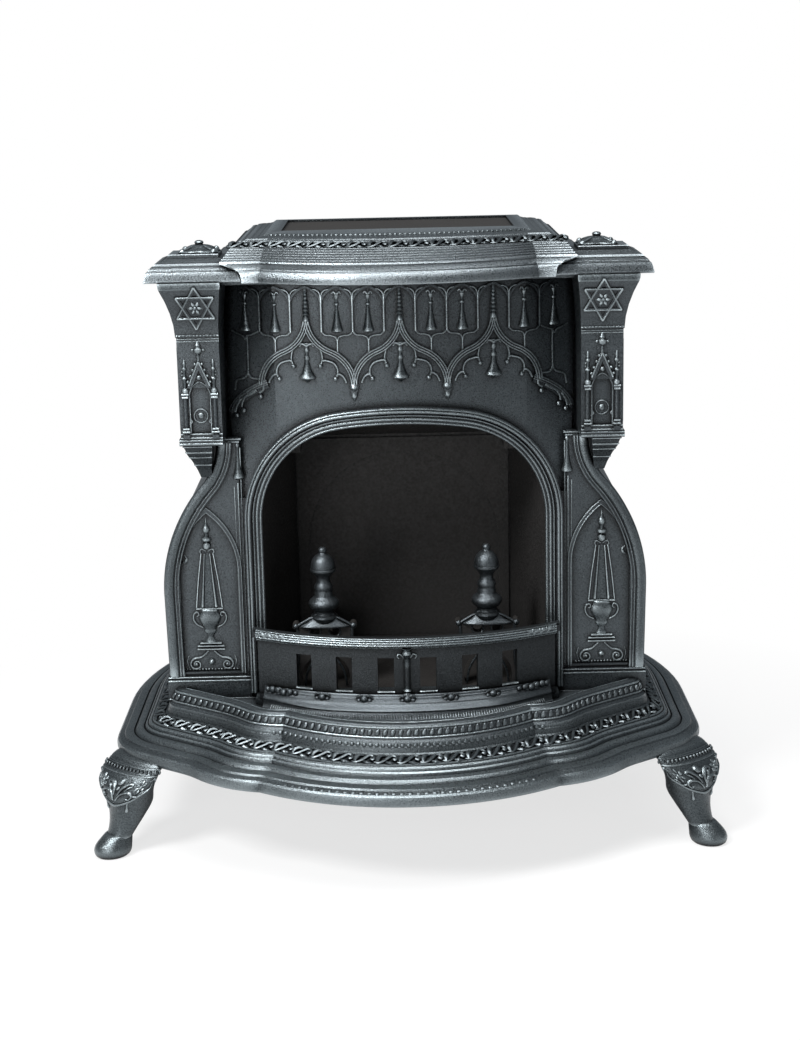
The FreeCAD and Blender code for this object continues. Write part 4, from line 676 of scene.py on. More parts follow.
class Workshop:
    """Holds the finishes and the band tree, and turns drafts into dressed pieces."""

    def __init__(self) -> None:
        """Make the finishes and the tree that sets bands."""
        self.finishes = {Slot.BLACK_IRON: BLACKED.build(), Slot.FIRE_IRON: SOOTED.build(),
                         Slot.STEEL: STEELED.build()}
        self.plain, self.fine, self.smoked = PLAIN.build(), FINE.build(), SMOKED.build()
        self.polished, self.rubbed = POLISHED.build(), RUBBED.build()
        self.tree = self._band_tree()

    @staticmethod
    def _band_tree() -> bpy.types.GeometryNodeTree:
        """Geometry Nodes tree that sets a unit again and again along a path.

        Returns:
            The tree, with the unit, its pitch and its finish as inputs.
        """
        group = bpy.data.node_groups.new("band", "GeometryNodeTree")
        for name, way, kind in (("Geometry", "INPUT", "Geometry"), ("Unit", "INPUT", "Object"),
                                ("Pitch", "INPUT", "Float"), ("Finish", "INPUT", "Material"),
                                ("Geometry", "OUTPUT", "Geometry")):
            group.interface.new_socket(name, in_out=way, socket_type="NodeSocket" + kind)
        tree = Wiring(group)
        given = tree.add("NodeGroupInput").outputs
        curve = tree.add("GeometryNodeMeshToCurve", {"Mesh": given["Geometry"]})
        even = tree.add("GeometryNodeResampleCurve", {"Curve": curve, "Length": given["Pitch"]},
                        mode="LENGTH")
        facing = tree.add("GeometryNodeInputNamedAttribute", {"Name": "facing"},
                          data_type="FLOAT_VECTOR")
        along = tree.add("FunctionNodeAlignRotationToVector",
                         {"Vector": tree.add("GeometryNodeInputTangent")}, axis="X")
        turn = tree.add("FunctionNodeAlignRotationToVector",
                        {"Rotation": along, "Vector": facing.outputs["Attribute"]},
                        axis="Z", pivot_axis="X")
        unit = tree.add("GeometryNodeObjectInfo", {"Object": given["Unit"]})
        spots = tree.add("GeometryNodeInstanceOnPoints", {
            "Points": even, "Instance": unit.outputs["Geometry"], "Rotation": turn})
        real = tree.add("GeometryNodeRealizeInstances", {"Geometry": spots})
        finish = tree.add("GeometryNodeSetMaterial",
                          {"Geometry": real, "Material": given["Finish"]})
        tree.add("NodeGroupOutput", {"Geometry": finish})
        return group

    def piece(self, name: str, shape: Draft | bpy.types.Mesh, body: Body = Body.STOVE,
              replaces: Sequence[str] = (), sharp: float = 35.0,
              finish: bpy.types.Material | None = None) -> None:
        """Make a piece and tie it to its body.

        Args:
            name: Name of the piece.
            shape: Its draft, or its mesh with a finish.
            body: Body that it rides on.
            replaces: CAD nodes that it stands for.
            sharp: Angle in degrees above which a draft's edges stay crisp.
            finish: Finish of a draft, where it isn't blacked.
        """
        mesh = shape.mesh(name, sharp=sharp) if isinstance(shape, Draft) else shape
        if not mesh.materials:
            mesh.materials.append(finish or self.finishes[Slot.BLACK_IRON])
        piece = add_object(name, mesh)
        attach(piece, body.value)
        if replaces:
            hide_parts(*replaces)
        LOG.info("%s: %d faces on %s", name, len(mesh.polygons), body.value)

    def band(self, name: str, courses: Sequence[Course], unit: Draft, pitch: float) -> None:
        """Make a piece on the stove that repeats a unit along one or several paths.

        Args:
            name: Name of the piece.
            courses: The paths, each point with the way it faces.
            unit: The unit, drawn with x along the path and z off the face.
            pitch: Distance between units, mm.
        """
        path = bpy.data.meshes.new(name + "_path")
        edges: list[tuple[int, int]] = []
        start = 0
        for course in courses:
            edges += [(start + i, start + i + 1) for i in range(len(course) - 1)]
            start += len(course)
        path.from_pydata([(x * MM, (y + FRONT_Y) * MM, z * MM)
                          for course in courses for (x, y, z), _ in course], edges, [])
        facing = path.attributes.new("facing", "FLOAT_VECTOR", "POINT")
        facing.data.foreach_set("vector", [part for course in courses for _, way in course
                                           for part in way])
        holder = add_object(name + "_path", path)
        seed = add_object(name + "_unit", unit.mesh(name + "_unit", 0.0))
        modifier = holder.modifiers.new("band", "NODES")
        modifier.node_group = self.tree
        keys = {item.name: item.identifier for item in self.tree.interface.items_tree
                if item.in_out == "INPUT"}
        modifier[keys["Unit"]] = seed
        modifier[keys["Pitch"]] = pitch * MM
        modifier[keys["Finish"]] = self.fine
        graph = bpy.context.evaluated_depsgraph_get()
        mesh = bpy.data.meshes.new_from_object(holder.evaluated_get(graph))
        mesh.name = name
        for item in (holder, seed):
            bpy.data.objects.remove(item)
        self.piece(name, mesh)


# ---- units that bands repeat -----------------------------------------
def slant_unit(length: float, height: float, slant: float, width: float) -> Draft:
    """Slanted oval bead, as in a rope or a gadroon.

    Args:
        length: How far the unit reaches across the band.
        height: Height of its crest.
        slant: Shift along the band from foot to head.
        width: Width of its middle.

    Returns:
        The unit.
    """
    unit = Draft()
    steps = 6
    path = [(slant * (i / steps - 0.5), length * (i / steps - 0.5)) for i in range(steps + 1)]
    widths = [width * math.sqrt(max(1 - (2 * i / steps - 1) ** 2, 0.06)) for i in range(steps + 1)]
    ridge(unit, flat_place, path, widths, 2 * height / width, 4)
    return unit


def leaf_unit(length: float, height: float) -> Draft:
    """Running leaf scroll: a stem that curls over, with lobes on both sides.

    Args:
        length: Length of one repeat.
        height: Height of the leaf across the band.

    Returns:
        The unit.
    """
    unit = Draft()
    long, tall = length / 26.0, height / 12.0

    def lay(points: Sequence[Flat], widths: Sequence[float], lift: float) -> None:
        """Lay one rounded lobe."""
        ridge(unit, flat_place, [(u * long, v * tall) for u, v in spline(points, 3)],
              [w * tall for w in widths], lift, 4)

    lay([(-14, -3.2), (-9, -4.8), (-3, -2.6), (2, 1.4), (6, 4.4), (10, 3.6)],
        (1.8, 3.2, 3.8, 2.8), 1.3)
    lay([(10, 3.6), (12.0, 1.2), (10.4, -1.2), (8.2, 0.2)], (2.6, 3.2, 3.4), 1.4)
    lay([(-10, -4.0), (-9.8, 0.4), (-6.5, 4.0), (-1.5, 4.6)], (2.4, 5.2, 4.4, 1.4), 1.2)
    lay([(-1, -2.4), (4, -5.0), (10, -4.6)], (1.6, 4.6, 1.2), 1.2)
    return unit


def roll(draft: Draft, course: Course, radius: float) -> None:
    """Draw a round roll along a course.

    Args:
        draft: Draft that takes it.
        course: Points with the way they face.
        radius: Radius of the roll.
    """
    rings = []
    for i, (point, way) in enumerate(course):
        run = Vector(course[min(i + 1, len(course) - 1)][0]) - Vector(course[max(i - 1, 0)][0])
        run.normalize()
        out = Vector(way) - run * run.dot(Vector(way))
        out.normalize()
        over = run.cross(out)
        rings.append([tuple(Vector(point) + (out * math.cos(turn) + over * math.sin(turn)) * radius)
                      for turn in (2 * math.pi * k / 7 for k in range(7))])
    draft.skin(rings)


# ---- base and hearth -------------------------------------------------
@dataclass(frozen=True)
class HearthPlan:
    """Plan of the hearth's edge: bow, shoulder, hollow, ear, rounded corner and side."""

    half: float = 378.0
    reach: float = 249.5
    back: float = 300.0
    bow_half: float = 183.0
    bow_rise: float = 57.5
    shoulder_r: float = 141.6
    shoulder_turn: Flat = (12.0, 50.0)
    hollow_r: float = 120.0
    ear_turn: float = 36.0
    ear_r: float = 98.0
    bend_y: float = 130.0
    side_r: float = 420.0

    def right(self, inset: float) -> list[Point]:
        """Right half of the outline.

        Args:
            inset: Distance inside the lip.

        Returns:
            x, y and the angle that the edge faces, from the middle of the front to the back.
        """
        bow_r = (self.bow_half ** 2 + self.bow_rise ** 2) / (2 * self.bow_rise)
        bow_y = bow_r - self.reach
        start, end = (math.radians(a) for a in self.shoulder_turn)
        ear = math.radians(self.ear_turn)
        corner_y = bow_y - math.sqrt(bow_r ** 2 - self.bow_half ** 2)
        shoulder = (self.bow_half - self.shoulder_r * math.sin(start),
                    corner_y + self.shoulder_r * math.cos(start))
        bend = self.shoulder_r + self.hollow_r
        hollow = (shoulder[0] + bend * math.sin(end), shoulder[1] - bend * math.cos(end))
        corner_x = self.half - self.ear_r
        foot = (hollow[0] - self.hollow_r * math.sin(ear),
                hollow[1] + self.hollow_r * math.cos(ear))
        run = (corner_x + self.ear_r * math.sin(ear) - foot[0]) / math.cos(ear)
        corner = (corner_x, foot[1] + run * math.sin(ear) + self.ear_r * math.cos(ear))
        mitre = self._mitre((0.0, bow_y), bow_r - inset, shoulder, self.shoulder_r - inset)
        first = math.asin(mitre[0] / (bow_r - inset))
        second = math.atan2(mitre[0] - shoulder[0], shoulder[1] - mitre[1])
        points = self._bend((0.0, bow_y), bow_r - inset, 0.0, first, 26)
        points += self._bend(shoulder, self.shoulder_r - inset, second, end, 12)
        points += self._bend(hollow, -self.hollow_r - inset, end, ear, 10)
        straight = self._bend(corner, self.ear_r - inset, ear, math.pi / 2, 14)
        before, after = points[-1], straight[0]
        points += [(x, y, ear) for x, y in line(before[:2], after[:2], 6)[1:-1]]
        points += straight
        side_x = self.half - inset
        points += [(x, y, math.pi / 2)
                   for x, y in line((side_x, points[-1][1]), (side_x, self.bend_y), 5)[1:]]
        side_r = self.side_r - inset
        turn = math.asin((self.back - inset - self.bend_y) / side_r)
        points += [(self.half - self.side_r + side_r * math.cos(turn * k / 7),
                    self.bend_y + side_r * math.sin(turn * k / 7), math.pi / 2 + turn * k / 7)
                   for k in range(1, 8)]
        return points

    @staticmethod
    def _mitre(first: Flat, first_r: float, second: Flat, second_r: float) -> Flat:
        """Front meeting point of two circles in plan.

        Args:
            first: Centre of the first circle.
            first_r: Its radius.
            second: Centre of the second circle.
            second_r: Its radius.

        Returns:
            The meeting point.
        """
        span = math.hypot(second[0] - first[0], second[1] - first[1])
        along = (first_r ** 2 - second_r ** 2 + span ** 2) / (2 * span)
        off = math.sqrt(first_r ** 2 - along ** 2)
        ux, uy = (second[0] - first[0]) / span, (second[1] - first[1]) / span
        return min(((first[0] + ux * along - s * uy * off, first[1] + uy * along + s * ux * off)
                    for s in (-1, 1)), key=lambda p: p[1])

    @staticmethod
    def _bend(centre: Flat, radius: float, start: float, end: float, steps: int) -> list[Point]:
        """Arc of the outline.

        Args:
            centre: Its centre.
            radius: Its radius, negative where it is hollow.
            start: Angle that its first point faces.
            end: Angle that its last point faces.
            steps: Number of chords.

        Returns:
            Its points, with the angle that each faces.
        """
        return [(centre[0] + radius * math.sin(turn), centre[1] - radius * math.cos(turn), turn)
                for turn in (start + (end - start) * k / steps for k in range(steps + 1))]

    def ring(self, inset: float, z: float) -> Ring:
        """Closed outline.

        Args:
            inset: Distance inside the lip.
            z: Its height.

        Returns:
            The ring, from the middle of the front round the right-hand side.
        """
        half = self.right(inset)
        return [(x, y, z) for x, y, _ in half] + [(-x, y, z) for x, y, _ in half[:0:-1]]

    def front(self, inset: float, z: float, tilt: float, limit: float = 400.0,
              deep: float = 400.0) -> Course:
        """Course along the front edge from left to right.

        Args:
            inset: Distance inside the lip.
            z: Its height.
            tilt: How far the face looks up, degrees.
            limit: Largest distance from the middle.
            deep: Largest y.

        Returns:
            The course.
        """
        level, rise = math.cos(math.radians(tilt)), math.sin(math.radians(tilt))
        half = [(x, y, turn) for x, y, turn in self.right(inset) if x <= limit and y <= deep]
        right = [((x, y, z), (math.sin(turn) * level, -math.cos(turn) * level, rise))
                 for x, y, turn in half]
        left = [((-x, y, z), (-fx, fy, fz)) for (x, y, z), (fx, fy, fz) in right[:0:-1]]
        return left + right


LEG_TOP = 117.0
LEG_BOLT_DRAW = 45.0


@dataclass(frozen=True)
class LegStand:
    """Where a leg stands and which way it points."""

    name: str
    x: float
    y: float
    out: Flat

    @property
    def bolt(self) -> Flat:
        """Plan position of its bolt."""
        return (self.x - self.out[0] * LEG_BOLT_DRAW, self.y - self.out[1] * LEG_BOLT_DRAW)


def leg_stands() -> list[LegStand]:
    """The four legs, splayed outwards at the corners.

    Returns:
        Their stands.
    """
    stands = []
    for side in Side:
        for end, x, y, splay in (("front", 350.0, -74.0, -0.7), ("rear", 330.0, 235.0, 1.0)):
            run = math.hypot(1.0, splay)
            stands.append(LegStand(f"{end}_{side.label}", side.value * x, y,
                                   (side.value / run, splay / run)))
    return stands


@dataclass(frozen=True)
class Base:
    """Moulded base with its leaf band, and the raised rim of the hearth on it."""

    plan: HearthPlan = HearthPlan()
    rows: tuple[Flat, ...] = (
        (4, 117), (1.2, 118.5), (0, 122), (0, 126), (1.2, 130), (3.5, 132.2), (5, 132.8),
        (10, 134.8), (11.5, 136.8), (13, 137), (22, 138.2), (23, 136.6), (24, 138.4), (25.5, 140),
        (28, 142), (32, 143.2), (35, 143.2), (36, 142), (37, 143.8), (38, 146), (40, 147.6),
        (40.8, 146.8), (41.6, 148.5), (43, 150.5), (45.5, 152), (46.3, 151.2), (47, 153.5),
        (49, 154.2), (49.6, 153.2), (51, 153.4), (63.5, 158.2), (64, 159.8), (65, 160.4),
        (66.5, 161.5), (68, 165.5), (68.5, 168), (69, 168.5), (70, 173))
    lining: tuple[Flat, ...] = (
        (77, 166), (71, 158), (54, 152), (41, 142), (31, 138), (11, 128), (10, 117))
    boss_r: float = 15.0

    def build(self, shop: Workshop) -> None:
        """Build the base and its ornament.

        Args:
            shop: Workshop that makes the pieces.
        """
        shell = Draft().skin([self.plan.ring(inset, z) for inset, z in self.lining + self.rows])
        for stand in leg_stands():
            lathe(shell, stand.bolt, [(self.boss_r, LEG_TOP), (self.boss_r, LEG_TOP + 20.0)], 24)
        shop.piece("base_shell", shell, replaces=("base_plate",), sharp=18.0)
        shop.band("base_leaf_band", [self.plan.front(57.0, 156.2, 68.0, deep=180.0)],
                  leaf_unit(27.0, 16.4), 27.0)
        shop.band("base_rope_row", [self.plan.front(69.4, 170.4, 17.0, 168.0)],
                  slant_unit(5.0, 1.9, 3.0, 5.2), 7.6)
        shop.band("base_lip_beads", [self.plan.front(6.6, 133.0, 66.0, 152.0)],
                  slant_unit(5.4, 1.7, 2.6, 6.6), 9.6)
        self._rim(shop)

    def _rim(self, shop: Workshop) -> None:
        """Rolls and gadroons on the rim of the hearth.

        Args:
            shop: Workshop that makes the pieces.
        """
        rolls = Draft()
        for inset, z, radius, tilt in ((78.6, 189.4, 1.5, 40.0), (74.2, 178.2, 1.2, 15.0),
                                       (90.5, 191.8, 1.1, 85.0)):
            roll(rolls, self.plan.front(inset, z, tilt, deep=-11.0), radius)
        shop.piece("hearth_rim_rolls", rolls)
        shop.band("hearth_channel_ribs", [self.plan.front(112.0, 176.8, 89.0, 150.0)],
                  slant_unit(38.0, 4.0, 0.0, 3.4), 5.4)
        shop.band("hearth_rim_gadroons", [self.plan.front(76.0, 183.8, 15.0, deep=-14.0)],
                  slant_unit(8.6, 2.4, 4.2, 6.2), 9.4)


# ---- legs ------------------------------------------------------------
@dataclass(frozen=True)
class Leg:
    """Cabriole leg with a leafy knee and a pad foot."""

    stand: LegStand
    sections: tuple[Row, ...] = (
        (1, -3, 27, 44), (0.93, 4, 31, 45), (0.82, 9, 32.5, 43), (0.7, 9.5, 31, 38),
        (0.57, 7, 28, 30.5), (0.43, 11.5, 22.5, 24), (0.3, 18.5, 18, 19.5),
        (0.18, 26.5, 15.5, 16.5))
    shoulder: tuple[Row, ...] = (
        (120, -3.8, 26.2, 43), (123, -5.6, 24.2, 40.6), (126, -8.6, 21, 36.5),
        (129, -13, 16, 29.5), (131.5, -18, 9.5, 19))
    tuck: float = 18.0                  # how far the front of the knee draws in under the lip
    tuck_span: Flat = (68.0, 112.0)     # heights between which it comes to its full size
    tuck_turn: float = 0.75             # where it is deepest, in radians from the outermost line
    foot: tuple[Row, ...] = (
        (0, 35.6, 17, 15), (0.9, 35.3, 20, 17.5), (3, 35, 22.6, 19.6), (6, 34.8, 24.1, 20.9),
        (9, 34.6, 24.7, 21.3), (12, 34.2, 24.5, 21.1), (15, 33.2, 24, 20.5), (18, 31.8, 23, 19.6),
        (21, 30, 21.6, 18.6), (24, 28.2, 20, 17.6), (26.5, 26.8, 18.4, 16.8),
        (28.5, 25.6, 16.6, 15.4), (29.6, 24.6, 13, 12), (30, 24.2, 6, 6))
    swing: float = 13.0                 # how far the carving is turned towards the front
    lug: Point = (12.0, 62.0, 17.0)     # from, to and half width, inwards from the knee
    lug_t: float = 10.0
    knee_r: float = 36.0                # distance along the girth for a turn of one radian
    girth: float = 49.0                 # half width of the carving, along the girth
    drop_u: float = 20.0                # where the drops hang, along the girth
    dentil_v: float = 112.8             # height of the dentils on the leg

    def at(self, share: float) -> Point:
        """Section of the leg.

        Args:
            share: Share of the leg's height.

        Returns:
            Outward shift, half depth and half width.
        """
        rows = sorted(self.sections)
        share = min(max(share, rows[0][0]), rows[-1][0])
        for i in range(len(rows) - 1):
            if share <= rows[i + 1][0]:
                break
        low, high = rows[i], rows[i + 1]
        before = rows[max(i - 1, 0)]
        after = rows[min(i + 2, len(rows) - 1)]
        span = high[0] - low[0]
        t = (share - low[0]) / span
        found = []
        for k in (1, 2, 3):
            rise_low = (high[k] - before[k]) / (high[0] - before[0]) * span
            rise_high = (after[k] - low[k]) / (after[0] - low[0]) * span
            found.append((2 * t ** 3 - 3 * t ** 2 + 1) * low[k]
                         + (t ** 3 - 2 * t ** 2 + t) * rise_low
                         + (3 * t ** 2 - 2 * t ** 3) * high[k] + (t ** 3 - t ** 2) * rise_high)
        return tuple(found)

    def place(self, u: float, v: float, height: float) -> Point:
        """Place on the leg's skin.

        Args:
            u: Distance along the girth from the outermost line.
            v: Height on the leg.
            height: Distance off the skin.

        Returns:
            The point.
        """
        shift, deep, wide = self.at(v / LEG_TOP)
        turn = u / self.knee_r
        normal = Vector((math.cos(turn) / deep, math.sin(turn) / wide, 0.0)).normalized()
        along = shift + deep * math.cos(turn) + normal.x * height - self._tucked(turn, v)
        aside = wide * math.sin(turn) + normal.y * height
        return self._plan(along, aside, v)

    def _plan(self, along: float, aside: float, z: float) -> Point:
        """Point at a distance outwards and sideways from the stand."""
        ox, oy = self.stand.out
        return (self.stand.x + ox * along - oy * aside, self.stand.y + oy * along + ox * aside, z)

    def _tucked(self, turn: float, v: float) -> float:
        """How far the skin draws in, so that the knee's front sits under the lip.

        Args:
            turn: Angle from the outermost line.
            v: Height on the leg.

        Returns:
            The distance.
        """
        if self.stand.y > 0.0:
            return 0.0
        low, high = self.tuck_span
        rise = min(max((v - low) / (high - low), 0.0), 1.0)
        front = math.copysign(turn, -turn * self.stand.out[0]) - self.tuck_turn
        return self.tuck * rise * rise * (3 - 2 * rise) * max(math.cos(front), 0.0)

    def build(self, shop: Workshop) -> None:
        """Build the leg and its knee.

        Args:
            shop: Workshop that makes the pieces.
        """
        turns = [2 * math.pi * (k / 44 - 0.5) for k in range(44)]
        rings = [[self.place(self.knee_r * turn, v, 0.0) for turn in turns]
                 for v in [LEG_TOP * (0.21 + 0.79 * i / 30) for i in range(31)]]
        for z, shift, deep, wide in self.shoulder:
            rings.append([self._plan(shift + deep * math.cos(t) - self._tucked(t, LEG_TOP),
                                     wide * math.sin(t), z) for t in turns])
        body = Draft().skin(rings)
        body.skin([[self._plan(shift + deep * math.cos(t), wide * math.sin(t), z) for t in turns]
                   for z, shift, deep, wide in self.foot])
        near, far, half = self.lug
        corners = ((near, half), (far, half), (far, -half), (near, -half))
        body.skin([[self._plan(-run, off, z) for run, off in corners]
                   for z in (LEG_TOP - self.lug_t, LEG_TOP)])
        shop.piece("leg_shape_" + self.stand.name, body, replaces=("leg_" + self.stand.name,))
        self._knee(shop)

    def _hem(self, u: float) -> float:
        """Height of the leaf's lower edge."""
        return LEG_TOP * (0.60 + 0.29 * (abs(math.degrees(u / self.knee_r)) / 92.0) ** 1.5)

    def carve(self, u: float, v: float, height: float) -> Point:
        """Place of the carving, which is turned a little towards the front."""
        swing = math.copysign(self.swing, -self.stand.out[0]) if self.stand.y < 0.0 else 0.0
        return self.place(u + swing, v, height)

    def _knee(self, shop: Workshop) -> None:
        """Carve the knee: dentils, rosettes, acanthus and the turned-over hem.

        Args:
            shop: Workshop that makes the pieces.
        """
        knee = Draft()
        across = [self.girth * (i / 18 - 1) for i in range(37)]
        for v, size in ((116.6, 2.6), (108.8, 2.2)):
            ridge(knee, self.carve, [(u, v) for u in across], size, 0.9)
        ridge(knee, self.carve, [(u, self._hem(u)) for u in across],
              (1.4, 4.0, 5.4, 4.0, 1.4), 0.9, 6)
        ridge(knee, self.carve, [(u, self._hem(u) + 3.8) for u in across[3:-3]], 1.3, 0.9)
        for path, widths in KNEE_LEAVES:
            pair(knee, self.carve, 0.0, path, widths, 1.4)
        hem = self._hem(self.drop_u)
        pair(knee, self.carve, 0.0,
             [(self.drop_u, hem - down) for down in (1, 5, 9, 12.5, 15, 16)],
             (2.0, 2.0, 3.4, 5.6, 4.4, 1.4), 0.9, 1)
        for side in (-1, 1):
            self._rosette(knee, side * 27.0, 97.0)
        bead(knee, self.carve, 0.0, 101.0, 4.2, 0.9)
        bead(knee, self.carve, 0.0, 93.0, 2.6, 1.0)
        shop.piece("leg_knee_" + self.stand.name, knee)
        course = []
        for u in across:
            point = Vector(self.carve(u, self.dentil_v, 0.2))
            way = Vector(self.carve(u, self.dentil_v, 5.0)) - point
            course.append((tuple(point), tuple(way.normalized())))
        if course[0][0][0] > course[-1][0][0]:
            course.reverse()
        shop.band("leg_dentils_" + self.stand.name, [course], slant_unit(6.2, 2.4, 0.6, 3.8), 5.6)

    def _rosette(self, knee: Draft, u: float, v: float) -> None:
        """Carve a rosette of six petals.

        Args:
            knee: Draft that takes it.
            u: Its place along the girth.
            v: Its height.
        """
        bead(knee, self.carve, u, v, 2.8, 1.0)
        for k in range(6):
            turn = math.pi * k / 3 + 0.3
            ridge(knee, self.carve,
                  [(u + r * math.cos(turn + 0.05 * r), v + r * math.sin(turn + 0.05 * r))
                   for r in (2.0, 4.0, 6.0, 7.8)], (1.6, 3.4, 4.2, 1.6), 0.8)


KNEE_LEAVES = (
    (((2, 78), (7, 87), (15, 90), (22, 86), (20, 81), (16, 82)), (2, 4, 3.4, 2)),
    (((3, 85), (5, 94), (11, 100), (16, 99), (14, 95)), (2, 4.4, 3, 1.6)),
    (((10, 89), (12, 95), (17, 98)), (1.6, 3.4, 1)),
    (((22, 86), (29, 85), (36, 89), (43, 94), (44, 100)), (2, 3.8, 3.6, 1.4)),
    (((30, 86), (33, 91), (38, 92)), (1.4, 3, 1)),
    (((37, 103), (43, 106), (49, 103), (51, 99)), (1.6, 3.6, 1.6)),
)


# ---- jambs and surround ----------------------------------------------
@dataclass(frozen=True)
class Surround:
    """Reeds on the surround of the opening."""

    half: float = 201.5
    top: float = 556.0
    crown_r: float = 560.0
    haunch_r: float = 140.0
    foot: float = 184.6
    mitre: float = 157.0
    rise: float = 14.0
    reeds: tuple[Row, ...] = (    # inset, distance ahead, width, lift
        (2, 11, 3.4, 1.2), (5.6, 11.2, 4.4, 1.1), (10.8, 6.4, 3.6, 1.1), (15.4, 6.2, 4.8, 1.1),
        (20.2, 6.4, 3, 1.1))

    def bow(self, x: float) -> float:
        """How far the bowed middle stands forward.

        Args:
            x: Distance from the middle.

        Returns:
            The distance ahead of the wings.
        """
        if abs(x) >= self.mitre:
            return 0.0
        radius = (self.mitre ** 2 + self.rise ** 2) / (2 * self.rise)
        return math.sqrt(radius ** 2 - x * x) - (radius - self.rise)

    def path(self, inset: float) -> list[Flat]:
        """Middle line of a reed.

        Args:
            inset: Distance inside the surround's outer edge.

        Returns:
            Points from the left foot over the crown to the right foot.
        """
        haunch_x = self.half - self.haunch_r
        crown_z = self.top - self.crown_r
        spring = crown_z + math.sqrt((self.crown_r - self.haunch_r) ** 2 - haunch_x ** 2)
        turn = math.degrees(math.atan2(spring - crown_z, haunch_x))
        side = line((self.half - inset, self.foot), (self.half - inset, spring), 12)[:-1]
        side += arc_path((haunch_x, spring), self.haunch_r - inset, 0.0, turn, 18)
        crown = arc_path((0.0, crown_z), self.crown_r - inset, turn, 90.0, 8)
        right = side + crown[1:]
        return mirror_path(right) + right[-2::-1]

    def build(self, shop: Workshop) -> None:
        """Lay the reeds on the surround.

        Args:
            shop: Workshop that makes the pieces.
        """
        reeds = Draft()
        for inset, ahead, width, lift in self.reeds:
            place = on_face(lambda x, z: -self.bow(x), ahead)
            ridge(reeds, place, self.path(inset), width, lift, 6)
        shop.piece("surround_reeds", reeds)


